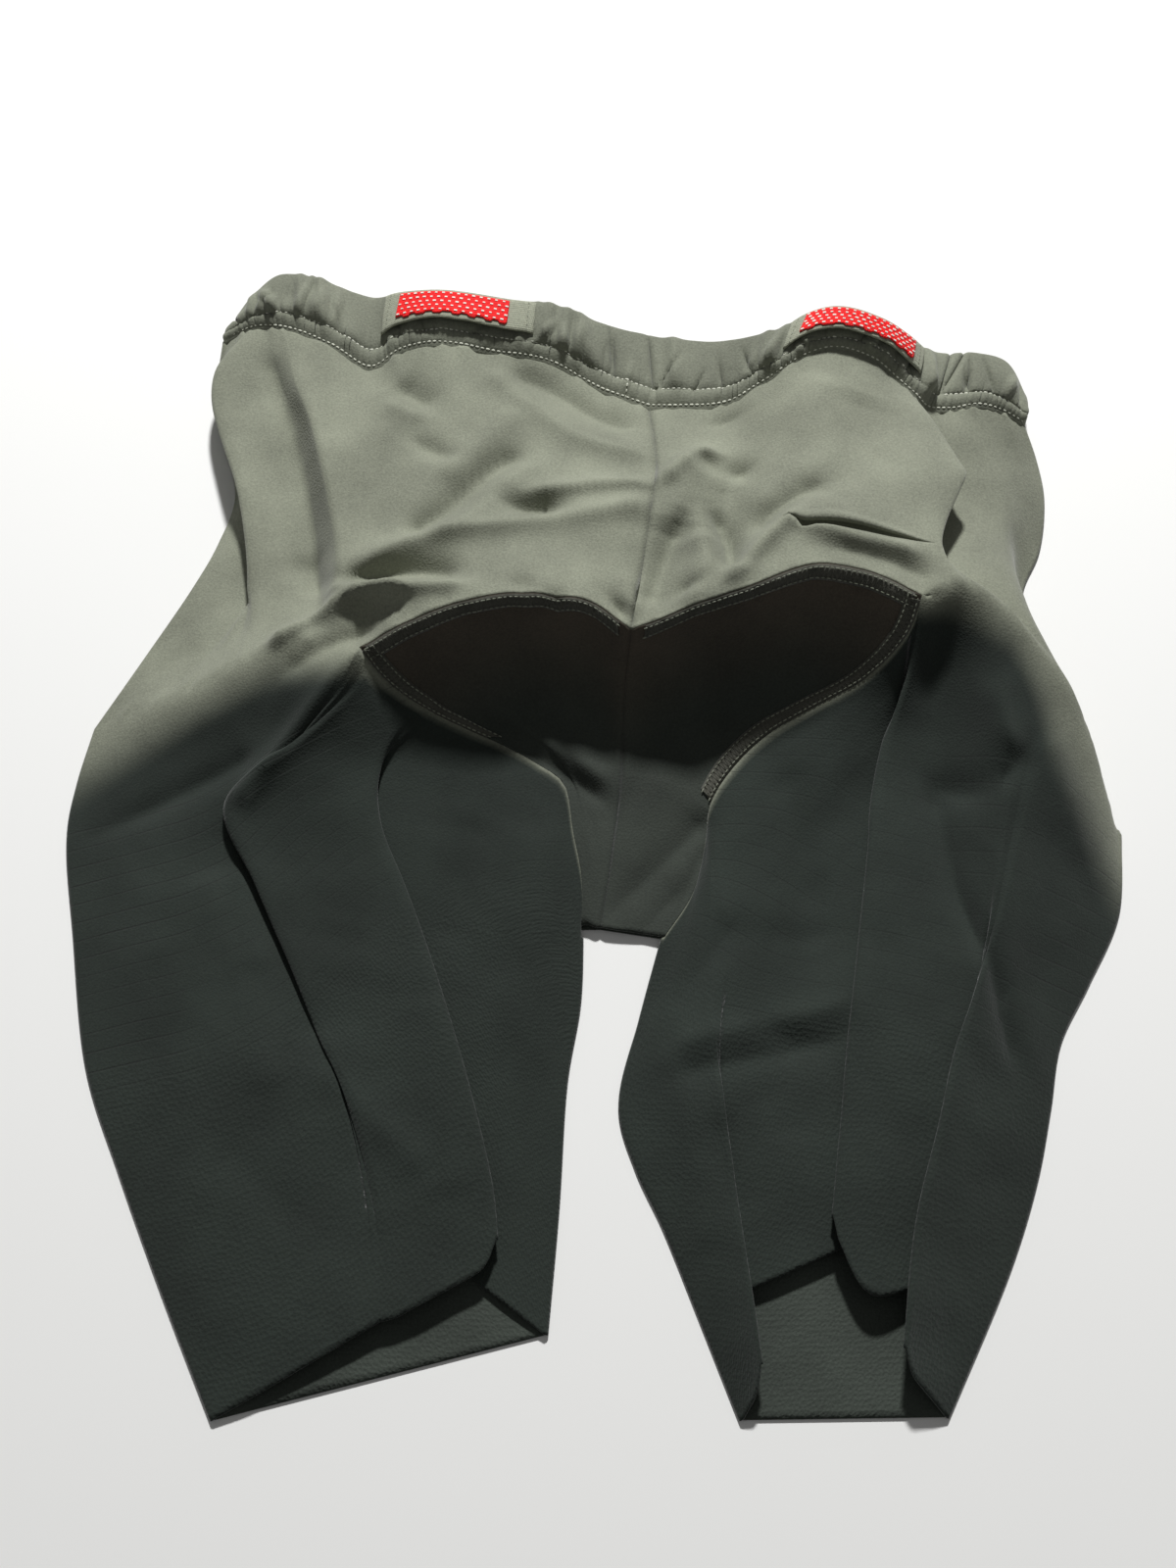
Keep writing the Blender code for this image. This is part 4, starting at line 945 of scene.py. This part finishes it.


# Browner at its top for painted shade, and its own charcoal lower down.
saddle_knit = knit("charcoal warp knit saddle", SADDLE_SHADE_BROWN, SADDLE_CHARCOAL)
band_knit = knit("charcoal warp knit seam bands", "#4c4c44", "#4c4c44")
needle_thread = plain_yarn("pale grey needle thread", "#7f8374", 0.5)
ladder_thread = plain_yarn("grey looper thread", "#5a5b52", 0.6)
stitches, threads = stitch_tree(), thread_tree()
for name, grid, mirrored in (
    ("saddle_left", saddle_panel(SADDLE_LEFT, SADDLE_TOP_LEFT, left[2]), False),
    ("saddle_right", saddle_panel(SADDLE_RIGHT, SADDLE_TOP_RIGHT, right[2]), True),
):
    grid = grooved(grid, deep=0.8, wide=1.1, at_end=True)
    grid = puckered(grid, wave=4.4, height=2.0, fade=9, keep_edge=True)
    runs = plain_runs(grid, painted_light_below(grid, SADDLE_SHADE_REACH))
    piece = wall_object(name + "_cloth", sheet_of([grid], [runs], mirrored), CLOTH, saddle_knit)
    placed(piece, name)
    trim, needle_chains, ladder_chains = [], [], []
    down_side = grid.transpose(1, 0, 2)
    for place, side in (("top", grid[:, 1:-2]), ("side", down_side[:, 4:SIDE_BAND_ENDS[name]])):
        across = zip(np.linspace(0.2, BAND_WIDTH, len(BAND_RISE)), BAND_RISE)
        strip = np.array([beside_edge(side, away, CLOTH / 2 + rise)[0] for away, rise in across])
        upward = np.cross(strip[1, 1] - strip[0, 1], strip[1, 2] - strip[1, 1])[2] < 0
        sheet = sheet_of([strip], [plain_runs(strip)], upward)
        band = wall_object(f"{name}_{place}_band", sheet, BAND_WALL, band_knit)
        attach(band, "root")
        trim.append(band)
        rows = [beside_edge(side, away, CLOTH / 2 + NEEDLE_RISE) for away in NEEDLE_ROWS]
        needle_chains += rows
        steps = round(lengths(rows[0][0])[-1] / LADDER_STEP)
        shares = np.linspace(0, 1, steps)
        first, second = along(rows[0][0], shares), along(rows[1][0], shares)
        out = along(rows[0][1], shares)
        zigzag = np.where((np.arange(steps) % 2 == 0)[:, None], first, second) + out * 0.02
        ladder_chains.append((zigzag, out))
    trim.append(sewn(name + "_needle_rows", needle_chains, stitches, Spacing=0.0022, Length=0.0018,
                     Width=0.0006, Height=0.0005, Unevenness=0.18, Seed=3, Square=False,
                     Thread=needle_thread))
    trim.append(sewn(name + "_ladder", ladder_chains, threads, Radius=0.00016, Thread=ladder_thread))

# Front panels: flat on the table.
# The same knit, which shows only its inside face within the hems. The back panels' sides fold round on to
# them, so they are cut to the outline.
FRONT_SEAM = [
    (-156, 208), (-130, 192), (-100, 184), (-40, 177), (30, 166), (100, 163), (150, 160), (174, 160),
    (187, 161),
]
CENTRE_FRONT = [(15, 168), (14, 100), (10, 0), (5, -62)]
FRONT_HEIGHT = 0.42
FRONT_ROWS = (56, 65)       # above and below the crotch
FRONT_COLUMNS = 24
FRONTS = (
    ("front_left", SIDE_LEFT + OUTER_LEFT[1:], [(-3, -62)] + INNER_LEFT[1:], False),
    ("front_right", SIDE_RIGHT + OUTER_RIGHT[1:], INNER_RIGHT, True),
)
front_knit = knit("charcoal warp knit fronts", "#3a403a", "#3a403a")
for name, outer, inner, mirrored in FRONTS:
    flat = [curve([(x, y, FRONT_HEIGHT) for x, y in line]) for line in (outer, CENTRE_FRONT, inner)]
    outer_line = along(flat[0], np.linspace(0, 1, sum(FRONT_ROWS)))
    inner_line = np.concatenate([along(line, np.linspace(0, 1, rows))
                                 for line, rows in zip(flat[1:], FRONT_ROWS)])
    steps = range(FRONT_COLUMNS + 1)
    grid = np.stack([outer_line + (inner_line - outer_line) * k / FRONT_COLUMNS for k in steps], axis=1)
    seam = curve([(x, y, FRONT_HEIGHT) for x, y in FRONT_SEAM])
    grid[0, :, 1] = np.interp(grid[0, :, 0], seam[:, 0], seam[:, 1])
    piece = wall_object(name + "_cloth", sheet_of([grid], [knit_runs(grid)], mirrored), CLOTH, front_knit)
    placed(piece, name)

# Waistband: a casing of the same knit over an elastic, which gathers it.
# Two rows of coverstitch hold it, one at the waist seam and one above it. Across the front it lies flat.
CASING = 2.0
BACK_STATIONS = 900
FRONT_STATIONS = 120
SEAM_ROW, UPPER_ROW = 0.04, 0.26       # the coverstitch rows, as shares of the band's height
BAND_LENGTH = 400
GATHER_COUNT = 66
PRESSED_COUNT = 34
FINE_STEPS = 1200

# Top edge: across (x), along (y) and height (z) at the back, and across and along at the front.
WAIST_TOP = [
    (-152, 214, 9), (-144, 224, 16), (-134, 230, 20), (-115, 227, 20), (-94, 219, 19), (-80, 218, 24),
    (-59, 214, 30), (-34, 211, 29), (-17, 210, 27), (8, 201, 25), (30, 195, 25), (54, 192, 26), (79, 193, 32),
    (95, 198, 38), (107, 198, 42), (122, 195, 39), (133, 192, 32), (143, 191, 22), (154, 192, 17),
    (167, 193, 16), (179, 190, 14), (188, 178, 7),
]
FRONT_TOP = [(-152, 214), (-100, 210), (-40, 204), (30, 193), (100, 190), (150, 186), (188, 178)]
seam_back = np.concatenate([left[0][0], right[0][0][-2::-1]])
seam_fine = along(seam_back, np.linspace(0, 1, FINE_STEPS + 1))
top_fine = along(curve(WAIST_TOP), np.linspace(0, 1, FINE_STEPS + 1))
draws = np.random.default_rng(11)
# Each gather: place along the band, half width, height, lean, and the stretch of the band's height it fills.
gathers = [(draws.uniform(0, 1), draws.uniform(1.4, 4.2), draws.uniform(1.4, 3.1), draws.normal(0, 8.0),
            draws.uniform(0.2, 0.34), draws.uniform(0.5, 1.35)) for _ in range(GATHER_COUNT)]
# Single sharp creases pressed into the band: the same columns, their heights below zero.
creases = [(draws.uniform(0, 1), draws.uniform(0.8, 1.5), -draws.uniform(2.0, 3.8), draws.normal(0, 10.0),
            draws.uniform(0.22, 0.4), draws.uniform(0.6, 1.3)) for _ in range(PRESSED_COUNT)]


def gathered_by(share, height):
    """How far the gathers lift the band here: most start at the upper row and die out towards the top."""
    lift = 0.0
    for at, width, tall, lean, low, high in gathers + creases:
        away = (share - at) * BAND_LENGTH - lean * (height - low)
        if abs(away) < 3 * width:
            ends = min(max((height - low + 0.1) / 0.24, 0), 1) * min(max((high - height) / 0.3, 0), 1)
            lift += tall * math.exp(-abs(away / width) ** 1.7) * ends
    channel = max(0, 1 - ((height - 0.15) / 0.11) ** 2)
    near = math.exp(-((height - UPPER_ROW - 0.05) / 0.09) ** 2)
    run = share * BAND_LENGTH
    pucker = noise.noise((run / 2.0, 2, 0)) + 0.7 * noise.noise((run / 1.1, 7, 0))
    broad = 1.5 * noise.noise((share * 26, height * 0.8, 4)) * min(height * 2, 1)
    return lift + pucker * (0.5 * channel + 0.6 * near) + 0.5 * channel + broad


def band_point(share, height, loose=1.0):
    """A point of the waistband's back, height 0 at its seam and 1 at its top edge, and the way out."""
    at = share * FINE_STEPS
    k = min(int(at), FINE_STEPS - 1)
    low = seam_fine[k] + (seam_fine[k + 1] - seam_fine[k]) * (at - k)
    high = top_fine[k] + (top_fine[k + 1] - top_fine[k]) * (at - k)
    before, after = max(k - 9, 0), min(k + 10, FINE_STEPS)
    out = np.cross(seam_fine[after] + top_fine[after] - seam_fine[before] - top_fine[before], high - low)
    out /= np.linalg.norm(out)
    pinch = 0.8 * math.exp(-((height - UPPER_ROW) / 0.035) ** 2)
    pinch += 0.3 * math.exp(-((height - SEAM_ROW) / 0.04) ** 2)
    swell = 1.8 * math.sin(math.pi * min(max(height, 0), 1)) ** 0.8 - pinch
    if height < 0:
        swell = 22 * height
    return low + (high - low) * height + out * (swell + loose * gathered_by(share, max(height, 0))), out


def chain_of(found, lift=0.0):
    """Points and their ways out as the two arrays of a chain, lifted off the cloth."""
    return np.array([point + out * lift for point, out in found]), np.array([out for _, out in found])


# Loops on the waistband. Columns: name, shares of the waistband's back where the loop starts and ends, and
# where its patch starts and ends.
LOOPS = [("left", 0.207, 0.380, 0.228, 0.350), ("right", 0.684, 0.850, 0.704, 0.830)]
band_heights = [-0.07, 0.0, SEAM_ROW, 0.07, 0.1, 0.15, 0.2, 0.235, UPPER_ROW, 0.285, 0.32, 0.38, 0.46, 0.54,
                0.62, 0.7, 0.78, 0.86, 0.93, 0.98, 1.0]
# Under a loop the gathers are flatter, which begins this share of the band beside it.
NEAR_LOOP = 0.02
ring = []
for k in range(BACK_STATIONS + 1):
    share = k / BACK_STATIONS
    covered = max(min((share - loop[1] + NEAR_LOOP) / NEAR_LOOP, (loop[2] + NEAR_LOOP - share) / NEAR_LOOP, 1)
                  for loop in LOOPS)
    ring.append([band_point(share, h, 1 - 0.65 * max(covered, 0) * (h > 0.3))[0] for h in band_heights])
FLAT_BAND = CASING / 2 + 0.05
stations = np.linspace(0, 1, FRONT_STATIONS + 1)
low_points = along(curve([(x, y + 0.3, FLAT_BAND) for x, y in FRONT_SEAM][::-1]), stations)
high_points = along(curve([(x, y, FLAT_BAND) for x, y in FRONT_TOP][::-1]), stations)
for low, high in zip(low_points, high_points):
    ring.append([low + (high - low) * max(h, 0) - [0, 0, 0.4 * (h < 0)] for h in band_heights])
ring.append(ring[0])
band_grid = np.array(ring).transpose(1, 0, 2)
# The casing is paler than the dye of the same knit because it faces the light: painted light.
lit_waist_knit = knit("charcoal warp knit waist casing", "#747769", "#747769")
band_sheet = sheet_of([band_grid], [plain_runs(band_grid)], True)
waistband = wall_object("waistband_cloth", band_sheet, CASING, lit_waist_knit, rounded=CASING * 0.45)
placed(waistband, "waistband")
needle_rows = []
for height in (SEAM_ROW, UPPER_ROW):
    found = [band_point(share, height) for share in np.linspace(0.002, 0.998, BACK_STATIONS)]
    needle_rows.append(chain_of(found, CASING / 2 + 0.25))
# A short row from one to the other in the middle of the back.
tick = [band_point(0.5, height) for height in np.linspace(SEAM_ROW, UPPER_ROW, 12)]
needle_rows.append(chain_of(tick, CASING / 2 + 0.15))
coverstitch = sewn("waistband_coverstitch", needle_rows, stitches, Spacing=0.0023, Length=0.0017,
                   Width=0.0008, Height=0.0006, Unevenness=0.2, Seed=8, Square=False,
                   Thread=plain_yarn("pale waistband thread", "#cfd1c2", 0.5))

# Belt loops: flat woven webbing, stitched down at both ends, with its lower edge standing off the gathers.
# On each is a generic red woven patch with pale flecks in a brick layout.
WEBBING = 1.0
PATCH = 0.7
LOOP_HEIGHTS = (0.38, 0.96)
PATCH_HEIGHTS = (0.47, 0.91)
FLECK_ROWS = 5
FLECK_STEP = 3.1       # from fleck to fleck along a row, in millimetres


def woven(name, color, ribbed, roughness):
    """Woven tape: fine ribs across it, and threads that differ a little in shade."""
    material, tree, shader = new_material(name, roughness, sheen=0.1)
    uv = node(tree, "ShaderNodeUVMap", uv_map="cloth")
    place = node(tree, "ShaderNodeTexCoord").outputs["Object"]
    ribs = node(tree, "ShaderNodeTexWave", {"Vector": uv, "Scale": ribbed, "Distortion": 0.6, "Detail": 1.0},
                bands_direction="X")
    weft = node(tree, "ShaderNodeTexWave", {"Vector": uv, "Scale": ribbed * 0.8, "Distortion": 0.4},
                bands_direction="Y")
    both = node(tree, "ShaderNodeMath", {0: ribs.outputs["Fac"], 1: weft.outputs["Fac"]},
                operation="MULTIPLY")
    grain = node(tree, "ShaderNodeTexNoise", {"Vector": place, "Scale": 800.0, "Detail": 2.0})
    mixed = node(tree, "ShaderNodeMath", {0: both, 1: 0.45, 2: grain}, operation="MULTIPLY_ADD")
    shade = node(tree, "ShaderNodeMapRange", {"Value": mixed, "From Min": 0.3, "From Max": 1.0,
                                              "To Min": 0.7, "To Max": 1.2})
    tinted = node(tree, "ShaderNodeVectorMath", {0: linear(color)[:3], "Scale": shade}, operation="SCALE")
    tree.links.new(tinted.outputs[0], shader.inputs["Base Color"])
    bump = node(tree, "ShaderNodeBump", {"Height": both, "Strength": 0.6, "Distance": 0.0003})
    tree.links.new(bump.outputs[0], shader.inputs["Normal"])
    return material


def on_loop(loop, share, height, lift):
    """A point on a loop's middle surface and the way out there; its lower edge stands off in waves."""
    t = min(max((share - loop[1]) / (loop[2] - loop[1]), 0), 1)
    point, out = band_point(share, height, 0.0)
    arch = math.sin(math.pi * t)
    free = max(0, 1 - (height - LOOP_HEIGHTS[0]) / 0.35) * arch ** 0.6
    wave = 0.7 * noise.noise((t * 3.2, 1.5, loop[1] * 40))
    stand = CASING / 2 + WEBBING / 2 + 0.75
    stand += 1.8 * arch ** 0.7 + free * (1.1 + wave) + wave * arch * 0.6 + lift
    return point + out * stand, out


webbing_look = woven("grey-green belt webbing", "#999c8a", 420.0, 0.8)
red_weave = woven("red woven patch", "#f00a0e", 300.0, 0.7)
pale_weave = plain_yarn("pale patch flecks", "#f4efe6", 0.6)
for loop in LOOPS:
    name, start, end, patch_start, patch_end = loop
    trim = []
    over_webbing = WEBBING / 2 + PATCH / 2 + 0.02
    for part, first, last, heights, lift, thickness, columns, look in (
        ("loop", start, end, LOOP_HEIGHTS, 0.0, WEBBING, 90, webbing_look),
        ("patch", patch_start, patch_end, PATCH_HEIGHTS, over_webbing, PATCH, 60, red_weave),
    ):
        grid = []
        for share in np.linspace(first, last, columns + 1):
            t = (share - first) / (last - first)
            ragged = 0.012 * noise.noise((t * 9, 4, start)) if part == "loop" else 0.02 * (-1) ** int(t * 14)
            levels = np.linspace(heights[1], heights[0] + ragged, 13)
            grid.append([on_loop(loop, share, height, lift)[0] for height in levels])
        grid = np.array(grid).transpose(1, 0, 2)
        sheet = sheet_of([grid], [knit_runs(grid)], False)
        piece = wall_object(f"{part}_{name}_cloth", sheet, thickness, look, rounded=0.2)
        placed(piece, f"{part}_{name}")
    rows = []
    for share in (start + 0.008, end - 0.008):
        found = [on_loop(loop, share, height, WEBBING / 2 + 0.1) for height in np.linspace(0.42, 0.93, 10)]
        rows.append(chain_of(found))
    bar = sewn(f"loop_{name}_end_stitches", rows, stitches, Spacing=0.0019, Length=0.0014, Width=0.0005,
               Height=0.0004, Unevenness=0.2, Seed=4, Square=False, Thread=needle_thread)
    rows = []
    low, high = PATCH_HEIGHTS
    for row in range(FLECK_ROWS):
        height = low + 0.05 + (high - low - 0.08) * row / (FLECK_ROWS - 1)
        shift = FLECK_STEP / 2 * (row % 2) / BAND_LENGTH
        shares = np.linspace(patch_start + 0.003 + shift, patch_end - 0.006 + shift, 40)
        found = [on_loop(loop, share, height, WEBBING / 2 + PATCH + 0.1) for share in shares]
        rows.append(chain_of(found))
    flecks = sewn(f"patch_{name}_flecks", rows, stitches, Spacing=FLECK_STEP * MM, Length=0.0012,
                  Width=0.00055, Height=0.0005, Unevenness=0.15, Seed=6, Square=True, Thread=pale_weave)
